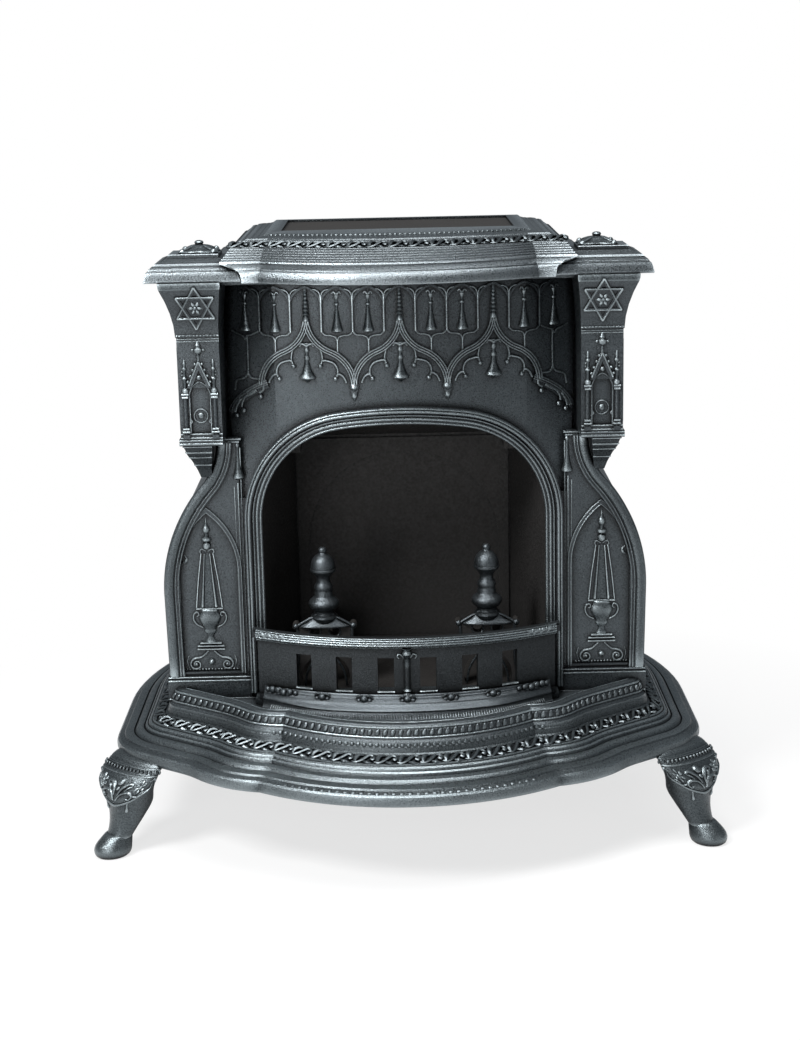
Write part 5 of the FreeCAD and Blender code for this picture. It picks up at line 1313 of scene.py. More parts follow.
@dataclass(frozen=True)
class Jamb:
    """Ornament of a jamb: rolled ogee border, lancet frame, obelisk and urn."""

    half: float = 308.4
    foot: float = 206.0
    ogee_z: float = 318.0
    top: float = 512.0
    belly_r: float = 209.4
    neck_r: float = 82.0
    lean: float = 2.6
    seat: float = 173.0
    axis: float = 252.0
    panel: float = 3.5          # y of the sunk panel
    border: float = 4.0         # how far the border stands forward

    def edge(self, inset: float) -> list[Flat]:
        """Ogee outline of the jamb.

        Args:
            inset: Distance inside its outer edge.

        Returns:
            Points from the plinth to the neck.
        """
        belly_x = self.half - self.belly_r
        rise = self.top - self.ogee_z
        neck_x = belly_x + math.sqrt((self.belly_r + self.neck_r) ** 2 - rise ** 2)
        turn = math.degrees(math.atan2(rise, neck_x - belly_x))
        path = []
        for k in range(8):
            z = self.foot + (self.ogee_z - self.foot) * k / 8
            lean = self.lean * (self.ogee_z - z) / (self.ogee_z - self.seat)
            path.append((self.half - inset - lean, z))
        path += arc_path((belly_x, self.ogee_z), self.belly_r - inset, 0.0, turn, 16)
        path += arc_path((neck_x, self.top), self.neck_r + inset, 180.0 + turn, 180.0, 10)[1:]
        return path

    def build(self, shop: Workshop) -> None:
        """Carve both jambs.

        Args:
            shop: Workshop that makes the pieces.
        """
        work = Draft()
        border = on_face(lambda x, z: 0.0, self.border - 0.4)
        for inset, width, lift in ((6.6, 12.4, 0.55), (14.4, 2.4, 1.1), (18.2, 2.4, 1.1)):
            ridge(work, border, self.edge(inset), width, lift, 8)
        frame = on_face(lambda x, z: 0.0, 1.6)
        for half, rise in ((38.2, 77.2), (41.8, 83.0)):
            ridge(work, frame, lancet_path(half, 209.0, 345.0, rise, 250.5), 1.8, 1.0)
        plate = on_face(lambda x, z: 0.0)
        for x, top, width in ((204.6, 505.0, 2.0), (208.6, 460.0, 2.6), (213.2, 455.0, 1.6)):
            ridge(work, plate, line((x, self.foot), (x, top), 10), width, 1.0)
        for z, low, high in ((516.0, 203.0, 226.0), (512.6, 205.0, 224.0)):
            ridge(work, plate, line((low, z), (high, z), 6), 3.6, 1.3)
        turned(work, plate, 207.6, TASSEL_BELL, 0.75)
        for out, z, width in ((8.0, 200.6, 2.2), (8.0, 176.2, 3.0), (5.5, 204.4, 2.2)):
            ridge(work, on_face(lambda x, z: -out), line((195.6, z), (308.0, z), 12), width, 0.9)
        self._obelisk(work)
        self._urn(work)
        self._volutes(work)
        shop.piece("jamb_carving", work.both())

    def _sunk(self, x: float, z: float, height: float) -> Point:
        """Place on the sunk panel."""
        return (x, self.panel - height, z)

    def _obelisk(self, work: Draft) -> None:
        """Carve the tapered spire with its knob and scrolled cap.

        Args:
            work: Draft that takes it.
        """
        x = self.axis
        rows = []
        for k in range(15):
            share = k / 14
            w, h = 11.0 - 6.6 * share, 3.4 - 0.6 * share
            half = [(1.0, -0.6), (1.0, h * 0.5), (0.86, h), (0.7, h * 0.9), (0.56, h * 0.35)]
            ring = [(-t, lift) for t, lift in half] + [(0.0, h * 0.3)] + half[::-1]
            rows.append([self._sunk(x + w * t, 297.0 + 71.0 * share, lift) for t, lift in ring])
        work.skin(rows)
        pair(work, self._sunk, x, [(16.6, 296.0), (12.8, 332.0), (7.6, 368.0)], 2.6, 1.7, 1)
        pair(work, self._sunk, x, [(1.5, 371.0), (6.5, 373.6), (9.0, 370.4), (7.0, 367.4)],
             (2.0, 2.6, 2.6), 1.4, 5)
        ridge(work, self._sunk, line((x - 17.0, 294.6), (x + 17.0, 294.6), 10), 3.4, 1.5)
        turned(work, self._sunk, x, OBELISK_KNOB, 0.85)

    def _urn(self, work: Draft) -> None:
        """Carve the urn with two handles on stacked plates.

        Args:
            work: Draft that takes it.
        """
        x = self.axis
        turned(work, self._sunk, x, URN, 0.36)
        pair(work, self._sunk, x, [(10, 270), (17, 274), (21, 281), (20, 288), (15.5, 290),
                                   (14, 286.5), (16.5, 284.5)], (2.4, 3.4, 3.0, 2.4), 1.5)
        swag = spline([(x - 9, 285), (x - 2, 281), (x + 3, 276), (x + 9, 273)], 4)
        ridge(work, self._sunk, swag, (1.6, 2.8, 1.4), 3.0)
        for z, half in ((248.8, 13.5), (244.9, 17.0), (240.6, 17.5)):
            ridge(work, self._sunk, line((x - half, z), (x + half, z), 10), 3.4, 2.2)

    def _volutes(self, work: Draft) -> None:
        """Carve two scrolls at the foot of the panel with a bead row under them.

        Args:
            work: Draft that takes them.
        """
        x = self.axis
        curl = [(20.0 + r * math.cos(t), 220.0 + r * math.sin(t)) for r, t in
                ((8.4 - 6.0 * k / 22, math.pi * (0.5 - 2.7 * k / 22)) for k in range(23))]
        lead = spline([(4.0, 238.0), (9.0, 233.0), (14.0, 229.5), (20.0, 228.4)], 4)
        pair(work, self._sunk, x, lead[:-1] + curl, (2.6, 3.6, 3.4, 2.6), 1.4, 1)
        bead_pair(work, self._sunk, x, (20.0, 220.0), 2.6, 1.3)
        pair(work, self._sunk, x, [(29.0, 214.0), (31.5, 224.0), (29.5, 232.0)],
             (1.2, 2.6, 1.0), 1.2)
        bead(work, self._sunk, x, 223.0, 4.4, 1.1)
        for k in range(-8, 9):
            bead(work, self._sunk, x + 4.1 * k, 212.8, 1.7, 1.0, 7)
        leaf = spline([(281.5, 366), (278.5, 361.5), (281.0, 357), (285.5, 357.0)], 4)
        ridge(work, self._sunk, leaf, (1.4, 4.6, 1.4), 0.9)


OBELISK_KNOB = (
    (374, 8), (377, 11), (380, 11), (382, 7), (385, 12.5), (388, 12.5), (390, 6), (394, 5.4),
    (396.5, 8.6), (399.5, 9.8), (402.5, 8), (404.5, 4.4), (409, 3.4), (413.8, 1.4))
URN = (
    (248, 16), (252, 13), (256, 9), (259, 8), (262, 14), (265.5, 17), (268, 15), (272, 20),
    (278, 27), (283, 29.5), (287, 27), (290, 22), (292.6, 24), (294, 20))
TASSEL_BELL = (
    (511, 3), (508, 5.4), (505, 3), (500, 3.6), (490, 4.8), (480, 7.2), (472, 11), (468.5, 13.6),
    (466.5, 13.6), (465, 9), (463.5, 3))


# ---- tracery of the upper front --------------------------------------
@dataclass(frozen=True)
class Tracery:
    """Mouldings, cusps and tassels on the three ogee gables of the upper front."""

    surround: Surround = Surround()
    foot_z: float = 440.0
    top_z: float = 712.0
    wing: tuple[Flat, Flat] = ((212.0, 9.0), (222.0, 38.0))     # x and y of the wing's edge
    pitch: float = 116.0
    foot: float = 583.0
    apex: float = 668.0
    bar: float = 3.2            # height of the cast bars

    def face(self, x: float, z: float) -> float:
        """Front of the plate.

        Args:
            x: Distance from the middle.
            z: Height.

        Returns:
            Its y.
        """
        mitre = self.surround.mitre
        if abs(x) <= mitre:
            return -self.surround.bow(x)
        share = (z - self.foot_z) / (self.top_z - self.foot_z)
        (low_x, low_y), (high_x, high_y) = self.wing
        reach = low_x + (high_x - low_x) * share
        back = low_y + (high_y - low_y) * share
        return back * (abs(x) - mitre) / (reach - mitre)

    def place(self, x: float, z: float, height: float) -> Point:
        """Place on the plate."""
        return (x, self.face(x, z) - height, z)

    def raised(self, x: float, z: float, height: float) -> Point:
        """Place on the cast bars."""
        return self.place(x, z, self.bar - 0.8 + height)

    def build(self, shop: Workshop) -> None:
        """Carve the tracery.

        Args:
            shop: Workshop that makes the pieces.
        """
        work = Draft()
        bar = ogee(self.pitch / 2, self.foot, self.apex)
        for x in (-self.pitch, 0.0, self.pitch):
            for gap, width in ((-2.9, 2.4), (0.0, 3.0), (2.9, 2.4)):
                pair(work, self.raised, x, beside(bar, gap), width, 1.7, 1)
            for path, balls in CUSPS:
                pair(work, self.place, x, path, (4.6, 3.8, 3.4), 1.6)
                for ball in balls:
                    bead_pair(work, self.place, x, ball, 3.3, 1.3)
            turned(work, self.raised, x, SPIRE, 1.1)
            turned(work, self.place, x, TASSEL, 0.8)
            pair(work, self.place, x, [(0.0, 635.5), (4.05, 636.1), (9.0, 632.0)],
                 (3.2, 2.4), 1.6)
        for side in (-1, 1):
            turned(work, self.place, side * self.pitch / 2, DROP, 1.0)
        self._wings(work)
        self._arcade(work)
        shop.piece("front_tracery", work)

    def _wings(self, work: Draft) -> None:
        """Carve the half gables on the wings: quarter arch, its cusps and the stem above it.

        Args:
            work: Draft that takes them.
        """
        outer = spline([(167.0, 587.0), (178.0, 582.5), (190.0, 576.0), (201.0, 568.0),
                        (210.0, 558.0), (215.0, 548.0)], 5)
        for gap, width in ((-2.4, 2.2), (0.0, 2.8), (2.4, 2.2)):
            pair(work, self.raised, 0.0, beside(outer, gap), width, 1.7, 1)
        for path, ball in (
                ([(172.2, 583.0), (172.8, 577.5), (177.3, 573.6)], (176.2, 568.8)),
                ([(181.0, 576.5), (188.9, 571.4), (195.6, 567.9), (200.0, 561.3),
                  (201.1, 554.8)], (198.6, 550.6)),
                ([(202.0, 565.0), (207.5, 556.0), (209.5, 548.0)], (207.4, 544.0))):
            pair(work, self.raised, 0.0, path, (4.4, 3.6), 1.4)
            bead_pair(work, self.raised, 0.0, ball, 3.2, 1.1)
        for path in ([(191.0, 645.0), (191.0, 618.0), (191.0, 597.0)],
                     [(191.0, 597.0), (194.5, 592.5), (199.0, 590.3), (206.5, 586.7),
                      (208.6, 575.4)],
                     [(191.0, 597.0), (186.5, 591.6), (176.7, 590.5)]):
            pair(work, self.place, 0.0, path, (3.0, 3.4, 2.8), 1.6)

    def _arcade(self, work: Draft) -> None:
        """Carve the upper arcade with its hanging tassels, and the row below.

        Args:
            work: Draft that takes it.
        """
        bay = self.pitch / 3
        for i in range(-5, 5):
            x = (i + 0.5) * bay
            ridge(work, self.place, line((x, 650.0), (x, 692.0), 3), 3.0, 2.4)
            pair(work, self.place, x, [(0.0, 691.0), (1.5, 698.0), (6.0, 702.0),
                                       (13.0, 703.5), (bay / 2, 707.0)], (3.0, 2.8, 2.6), 2.4)
        for i in (-5, -4, -2, -1, 1, 2, 4, 5):
            x = i * bay
            turned(work, self.place, x, TASSEL_SMALL, 0.85)
            pair(work, self.place, x, [(0.8, 696.5), (3.4, 699.5), (5.4, 697.2)], (3.2, 2.2), 1.6)
            if abs(i) == 5:
                pair(work, self.place, x, [(0.0, 639.5), (3.0, 644.0), (9.0, 646.0),
                                           (bay * 0.45, 650.0)], (3.0, 2.6), 1.8)
                continue
            foot = {1: 622.0, 2: 624.0, 4: 622.6}[abs(i)]
            ridge(work, self.place, [(x, foot), (x, 632.0), (x, 641.0)], 2.8, 1.8)
            pair(work, self.place, x, [(0.0, 639.0), (2.4, 643.6), (8.0, 645.6), (15.0, 646.4),
                                       (bay / 2, 650.6)], (3.0, 2.6, 2.8), 1.8)


CUSPS = (
    (((0, 632.6), (2.5, 634.5), (6, 635.6), (11, 634.8), (15.5, 630.8), (18.3, 624.7),
      (19.3, 617), (17.8, 610.5)), ((16.8, 607.6),)),
    (((18.8, 614.5), (22, 614.8), (26, 614), (31, 612.5), (34.5, 610), (37.3, 605.5),
      (38.2, 600), (36.8, 594.5)), ((35.2, 591.6),)),
    (((37.6, 597.5), (41, 597), (44.5, 594.5), (47, 590.5), (48.5, 586.5)), ()),
)
DROP = (
    (587, 6), (583, 11), (580, 12.5), (577, 8.6), (575, 5.4), (572, 8.2), (569, 8.4), (566, 4.8),
    (563, 1.6))
TASSEL = (
    (632.5, 3.6), (630, 6), (627, 7.6), (624, 4.4), (621, 5), (618.5, 7.4), (616.5, 7.2),
    (614.5, 5.4), (607, 8.4), (601, 12.4), (597, 16.4), (594.5, 20.4), (592.6, 21), (591, 17.5),
    (589.5, 8.4), (588, 5), (586.6, 1.8))
TASSEL_SMALL = (
    (699, 1.6), (697, 3.6), (695, 6.6), (692, 5), (689, 3.4), (686.5, 3.4), (685, 6.2),
    (683.5, 6.2), (682, 3.6), (672, 5.8), (662, 9), (655, 12.4), (652.5, 14.2), (650.8, 14.2),
    (649.8, 7.6), (648.6, 2.4))
SPIRE = (
    (664, 9), (668, 8), (671, 6), (673, 8.8), (675.5, 5.2), (678, 8), (680.5, 4.8), (683, 7.2),
    (685.5, 4.4), (688, 6.4), (690.5, 4), (693, 5.8), (695, 3.4), (697, 5.2), (699, 3), (703, 1.2))


# ---- pilasters -------------------------------------------------------
@dataclass(frozen=True)
class Pilaster:
    """Ornament of a pilaster: star, crocketed gable, pinnacles and niche."""

    x: float = 246.25
    half: float = 25.75
    front: float = -48.0
    foot: float = 518.0
    capital: float = 652.0
    top: float = 712.0
    flare: float = 17.0
    niche: float = 4.0
    star_z: float = 688.0
    star_r: float = 26.2
    corbel_h: float = 49.0
    abacus_back: float = 45.5
    abacus: tuple[Row, ...] = (    # height, inner x, outer x, front y
        (710.4, 216.2, 287.6, -64), (711.6, 215.4, 288.6, -65), (713.4, 215.2, 289.4, -65.4),
        (716, 215, 289.8, -65.6), (719.3, 215, 290, -65.6))

    def face(self, x: float, z: float) -> float:
        """y of the front, flared above the capital line."""
        share = max(z - self.capital, 0.0) / (self.top - self.capital)
        return self.front - (1.0 + (self.flare - 1.0) * share ** 1.8 if share else 0.0)

    def place(self, x: float, z: float, height: float) -> Point:
        """Place on the front."""
        return (x, self.face(x, z) - height, z)

    def build(self, shop: Workshop) -> None:
        """Carve both pilasters.

        Args:
            shop: Workshop that makes the pieces.
        """
        work = Draft()
        x0, x1 = self.x - self.half, self.x + self.half
        self._star(work)
        for z, width in ((654.0, 2.4), (650.0, 1.4), (647.0, 1.2), (527.2, 2.8), (532.2, 2.2)):
            ridge(work, self.place, line((x0, z), (x1, z), 8), width, 1.0)
        foot = on_face(lambda x, z: self.front - 2.0)
        for z, width in ((520.2, 3.0), (524.4, 2.0)):
            ridge(work, foot, line((x0, z), (x1 + 2.0, z), 8), width, 0.9)
        self._gable(work)
        self._niche(work)
        corners = [(-40.0, 536.0), (38.0, 536.0), (38.0, 638.0), (-40.0, 638.0), (-40.0, 536.0)]
        for a, b in zip(corners, corners[1:]):
            ridge(work, lambda y, z, height: (x1 + height, y, z), line(a, b, 2), 3.0, 0.8)
        work.skin([brick_ring(low, front, high, self.abacus_back, z)
                   for z, low, high, front in self.abacus])
        shop.piece("pilaster_carving", work.both())
        course = [(self.place(x, z, 0.6), (0.0, -1.0, 0.0))
                  for x, z in line((x0 + 3.0, 654.2), (x0 + 49.0, 654.2), 23)]
        twin = [((-x, y, z), way) for (x, y, z), way in reversed(course)]
        unit = Draft()
        bead(unit, flat_place, 0.0, 0.0, 1.5, 0.9, 8)
        shop.band("pilaster_beads", [course, twin], unit, 3.9)
        self._corbel(shop)

    def _star(self, work: Draft) -> None:
        """Carve the mouldings of the six-pointed star and the flower in its middle.

        Args:
            work: Draft that takes them.
        """
        z = self.star_z
        raised = on_face(self.face, 1.4)
        for turn in (90, 270):
            corners = arc_path((self.x, z), self.star_r, turn, turn + 360, 3)
            for a, b in zip(corners, corners[1:]):
                ridge(work, raised, line(a, b, 6), 2.8, 1.0)
        for k in range(6):
            turn = math.pi * k / 3
            ridge(work, self.place, [(self.x + r * math.cos(turn), z + r * math.sin(turn))
                                     for r in (1.5, 4.0, 6.5, 8.6)], (2.0, 4.6, 4.4, 1.4), 0.9)
        bead(work, self.place, self.x, z, 3.0, 1.3)

    def _gable(self, work: Draft) -> None:
        """Carve the crocketed rakes, the finial over them and the two pinnacles.

        Args:
            work: Draft that takes them.
        """
        raised = on_face(self.face, 2.6)
        rake = line((13.0, 593.0), (0.4, 622.0), 8)
        pair(work, raised, self.x, rake, 2.6, 1.0, 1)
        for u, z in rake[1::2]:
            bead_pair(work, raised, self.x, (u + 2.2, z + 1.2), 1.9, 1.1, 8)
        for side in (-1, 1):
            turned(work, self.place, self.x + side * 17.6, PINNACLE, 0.9)
        for z in (606.0, 610.0):
            bead_pair(work, self.place, self.x, (20.4, z), 1.3, 1.1, 7)
        turned(work, self.place, self.x, GABLE_FINIAL, 0.75)
        bead_pair(work, self.place, self.x, (6.6, 636.6), 2.1, 1.0, 8)
        bead(work, raised, self.x, 603.0, 3.0, 0.8)

    def _niche(self, work: Draft) -> None:
        """Carve the pointed head, roundel and colonette mouldings.

        Args:
            work: Draft that takes them.
        """
        ridge(work, self.place, lancet_path(12.8, 534.0, 580.0, 17.6, self.x, 8), 2.2, 1.1)
        back = on_face(lambda x, z: self.front + self.niche)
        ridge(work, back, arc_path((self.x, 554.6), 8.4, 0.0, 360.0, 20)[:-1], 2.4, 1.2,
              looped=True)
        bead(work, back, self.x, 554.6, 4.2, 0.6, 12)
        front = on_face(self.face, 3.6)
        for side in (-1, 1):
            x = self.x + side * 18.0
            for z, size in ((582.4, 8.8), (578.6, 7.2), (539.4, 7.6), (535.6, 9.0)):
                ridge(work, front, line((x - size / 2, z), (x + size / 2, z), 2), 2.4, 0.9)
        pair(work, self.place, self.x, [(14, 545), (11, 548), (13, 552)], (1.4, 2.6, 1.2), 1.0)

    def _corbel(self, shop: Workshop) -> None:
        """Roll the mouldings round the pendant under the pilaster.

        Args:
            shop: Workshop that makes the piece.
        """
        rolls = Draft()
        for share, draw in ((0.05, 0.8), (0.22, 3.2), (0.38, 6.2), (0.62, 11.0)):
            z = self.foot - share * self.corbel_h
            x0, x1, y = 234.7 + draw * 0.35, self.x + self.half - 1.0 - draw, -44.0 + 2.3 * draw
            radius = 1.3 if share < 0.3 else 0.9
            roll(rolls, [((x, y, z), (0.0, -1.0, 0.0)) for x, _ in line((x0, y), (x1, y), 4)],
                 radius)
            roll(rolls, [((x1, deep, z), (1.0, 0.0, 0.0))
                         for _, deep in line((x1, y), (x1, 30.0), 4)], radius)
        shop.piece("corbel_rolls", rolls.both())


PINNACLE = (
    (584, 8), (588, 8.6), (590, 5), (600, 5.4), (602, 7.6), (604, 4.6), (611, 3.8), (614, 6),
    (616.5, 3.4), (621, 4.4), (625, 1.2))
GABLE_FINIAL = (
    (621, 4), (626, 3), (629, 4.4), (631, 3.4), (634, 9.5), (637.5, 11), (640, 6), (642, 7.6),
    (644.5, 5.2), (647.6, 1.6))


# ---- mantel ----------------------------------------------------------
Tier = tuple[float, float, float, float, float]     # rise, draw in, wing's y, bow, side drawn in
BOW_POINTS = 49


@dataclass(frozen=True)
class Mantel:
    """Moulded mantel: corner blocks, bowed lip, reeded slope, leaf band and rim."""

    foot: float = 712.0
    half: float = 307.0
    block_inner: float = 190.0
    block_front: float = -62.0
    block_back: float = 52.0
    body_half: float = 250.0
    body_front: float = -38.0
    body_back: float = 244.0
    bow_half: float = 167.0
    lip_front: float = -84.0    # y of the lip's wings
    lip_bow: float = 48.0
    tier_back: float = 236.0
    block: tuple[Flat, ...] = (
        (30, 0.4), (29, 7.2), (1, 7.4), (0.2, 7.8), (0, 9), (0.8, 12), (1.8, 16), (3.2, 19.8),
        (4, 20.2), (4.6, 19.4), (5.4, 21.6), (6.2, 23.4), (6.9, 22.9), (7.6, 24.6), (10, 25.6),
        (10.6, 24.8), (11, 27), (13, 29.2), (15, 30), (20, 32), (21, 31.4), (26, 34), (28, 34.2),
        (28, 38.2), (28.6, 39))
    lip: tuple[Point, ...] = (
        (62, 0.4, 186), (60, 7.2, 186), (1.2, 7.4, 186), (0.2, 8, 186.4), (0, 9.6, 187),
        (0.4, 13, 187.4), (1.6, 17, 188.2), (3.6, 20.6, 190), (5.4, 22.2, 192), (6.2, 21.2, 193),
        (7.2, 23.6, 194.4), (10, 26.2, 199), (14, 28.4, 206))
    body: tuple[Flat, ...] = (
        (12, 0), (8.5, 4), (6, 9), (6.3, 13), (8, 16), (8.8, 15.4), (11, 19.6), (16, 24),
        (17, 23.6), (21, 27), (28, 29), (40, 29.4))
    slope: tuple[Tier, Tier] = ((30.0, 2.0, -68.0, 46.0, 36.0), (43.2, 3.6, -23.0, 40.6, 46.0))
    hidden: Flat = (20.0, 24.0)     # rise of the slope's hidden foot, how much narrower it is
    upper: tuple[Tier, ...] = (
        (44.6, 3.7, -22, 40.5, 46.4), (43.8, 3.8, -21, 40.3, 46.8), (49.4, 5.6, -6.4, 36.2, 55),
        (51.2, 6, -5.6, 36, 56), (51.9, 6.6, -3.8, 35.4, 59), (51.2, 7, -2.2, 35, 61),
        (53.2, 7.6, -0.4, 34.6, 64), (53.8, 8.4, 2.6, 33.6, 69), (53, 8.8, 4, 33.2, 71),
        (54.2, 9.2, 8, 31.8, 77), (53.8, 9.6, 9.8, 31.4, 78), (55.4, 10.6, 16, 30.4, 84),
        (57, 11.2, 18.4, 30, 86), (58, 12, 21, 29.6, 88))
    lid: Point = (146.0, 52.0, 226.0)       # half width, front, back
    lid_floor: float = 51.0
    reeds: int = 6
    reed_height: float = 2.0
    leaf_row: Tier = (46.8, 4.7, -13.8, 38.2, 51.0)
    bead_row: Tier = (55.9, 10.8, 16.9, 30.3, 84.6)
    rosette: Point = (243.25, -5.0, 39.0)   # x, y, height over the mantel's foot
    stud_reach: float = 27.0
    dome: tuple[Point, ...] = (    # radius, height, squareness
        (25.6, 0, 0.2), (26, 1.6, 0.2), (24.6, 2.8, 0.17), (21, 3.4, 0.12), (16.5, 4.8, 0.07),
        (12.6, 6.9, 0.03), (8.8, 8.9, 0), (5.6, 9.6, 0), (4.7, 9.9, 0), (5.4, 10.9, 0),
        (5.6, 12.2, 0), (4.7, 13.6, 0), (2.6, 14.4, 0), (0.8, 14.6, 0))
    stud: tuple[Flat, ...] = (
        (3.2, 0), (4, 1.6), (3.6, 3.6), (2.2, 5.2), (0.6, 5.8))

    def _bowed(self, z: float, mitre: float, wing_y: float, rise: float, side: float,
               back: float) -> Ring:
        """Ring with a bowed front, short wings and straight sides.

        Args:
            z: Height.
            mitre: Half width of the bow.
            wing_y: y of the wings.
            rise: How far the bow stands forward.
            side: Half width.
            back: y of the back.

        Returns:
            The ring.
        """
        radius = (mitre ** 2 + rise ** 2) / (2 * rise)
        turn = math.degrees(math.asin(mitre / radius))
        front = arc_path((0.0, wing_y - rise + radius), radius, 270.0 - turn, 270.0 + turn,
                         BOW_POINTS - 1)
        rest = [(side, wing_y), (side, back), (-side, back), (-side, wing_y)]
        return [(x, y, z) for x, y in front + rest]

    def _tier(self, row: Tier) -> Ring:
        """Ring of the raised middle.

        Args:
            row: Where it lies.

        Returns:
            The ring.
        """
        rise, draw, wing_y, bow, side = row
        return self._bowed(self.foot + rise, self.bow_half - draw, wing_y, bow,
                           self.body_half - side, self.tier_back)

    def _reeded(self) -> list[Tier]:
        """Rows of the slope with its fine reeds.

        Returns:
            The rows from foot to head.
        """
        rows = []
        steps = 6 * self.reeds
        for k in range(steps + 1):
            share = k / steps
            bump = self.reed_height * abs(math.sin(math.pi * self.reeds * share)) ** 0.7
            row = [a + (b - a) * share for a, b in zip(*self.slope)]
            row[0] += bump * 0.9
            row[2] -= bump * 0.4
            rows.append(tuple(row))
        return rows

    def build(self, shop: Workshop) -> None:
        """Build the mantel with its bands and rosettes.

        Args:
            shop: Workshop that makes the pieces.
        """
        work = Draft()
        for side in (-1, 1):
            rings = []
            for inset, rise in self.block:
                x0, x1 = self.block_inner + inset, self.half - inset
                y0, y1 = self.block_front + inset, self.block_back - inset
                rings.append(brick_ring(side * x0, y0, side * x1, y1, self.foot + rise))
            work.skin(rings)
        work.skin([self._bowed(self.foot + rise, self.bow_half - 0.3 * inset,
                               self.lip_front + inset, self.lip_bow - 0.2 * inset, side,
                               self.block_back)
                   for inset, rise, side in self.lip])
        work.skin([brick_ring(-self.body_half + inset, self.body_front + inset,
                              self.body_half - inset, self.body_back - inset, self.foot + rise)
                   for inset, rise in self.body])
        start = self.slope[0]
        first = (self.hidden[0], *start[1:-1], start[-1] + self.hidden[1])
        rings = [self._tier(row) for row in [first, *self._reeded(), *self.upper]]
        work.skin(rings + self._recess(rings[-1]))
        shop.piece("mantel_mouldings", work, replaces=("mantel",), sharp=16.0,
                   finish=shop.polished)
        self._bands(shop)
        self._rosettes(shop)

    def _recess(self, rim: Ring) -> list[Ring]:
        """Rings that lead from the rim to the seat of the lid.

        Args:
            rim: Last ring of the tiers.

        Returns:
            The edge and the floor of the seat.
        """
        half, front, back = self.lid
        span = rim[-5][0]
        edge = [(x / span * (half - 2.0), front) for x, _, _ in rim[:-4]]
        edge += [(half, front), (half, back), (-half, back), (-half, front)]
        return [[(x, y, self.foot + rise) for x, y in edge]
                for rise in (self.upper[-1][0], self.lid_floor)]

    def _bands(self, shop: Workshop) -> None:
        """Leaf band over the reeded slope and beads on the rim.

        Args:
            shop: Workshop that makes the pieces.
        """
        rise, _, wing_y, _, draw = self.leaf_row
        end, z = self.body_half - draw - 4.0, self.foot + rise
        bow = [(-end, wing_y, z), *self._tier(self.leaf_row)[:BOW_POINTS], (end, wing_y, z)]
        course = [(point, (0.0, -0.4, 0.92)) for point in bow]
        shop.band("mantel_leaf_band", [course], leaf_unit(25.0, 16.0), 25.0)
        course = [(point, (0.0, -0.85, 0.5)) for point in self._tier(self.bead_row)[:BOW_POINTS]]
        shop.band("mantel_rim_beads", [course], slant_unit(3.6, 1.2, 1.6, 4.2), 6.0)

    def _rosettes(self, shop: Workshop) -> None:
        """Domed rosettes with a knob on the corner blocks.

        Args:
            shop: Workshop that makes the pieces.
        """
        out, y, rise = self.rosette
        z = self.foot + rise
        for side in Side:
            x = side.value * out
            work = Draft()
            rings = []
            for radius, height, square in self.dome:
                grow = [(t, radius * (1.0 - square * math.cos(4 * t) * 0.9))
                        for t in (2 * math.pi * k / 48 for k in range(48))]
                rings.append([(x + r * math.cos(t), y + r * math.sin(t), z + height)
                              for t, r in grow])
            work.skin(rings)
            for k in range(4):
                turn = math.pi / 4 + math.pi * k / 2
                c, s = math.cos(turn), math.sin(turn)
                lathe(work, (x + self.stud_reach * c, y + self.stud_reach * s),
                      [(r, z + up) for r, up in self.stud], 14)
                ridge(work, lambda u, v, h: (x + u * c - v * s, y + u * s + v * c,
                                             z + 8.6 - 0.27 * (u - 8.0) + h),
                      [(8, 0), (14, 0), (20, 0), (25, 0)], (2.0, 4.4, 4.0, 1.6), 0.6)
            shop.piece("finial_rosette_" + side.label, work, replaces=("finial_" + side.label,))


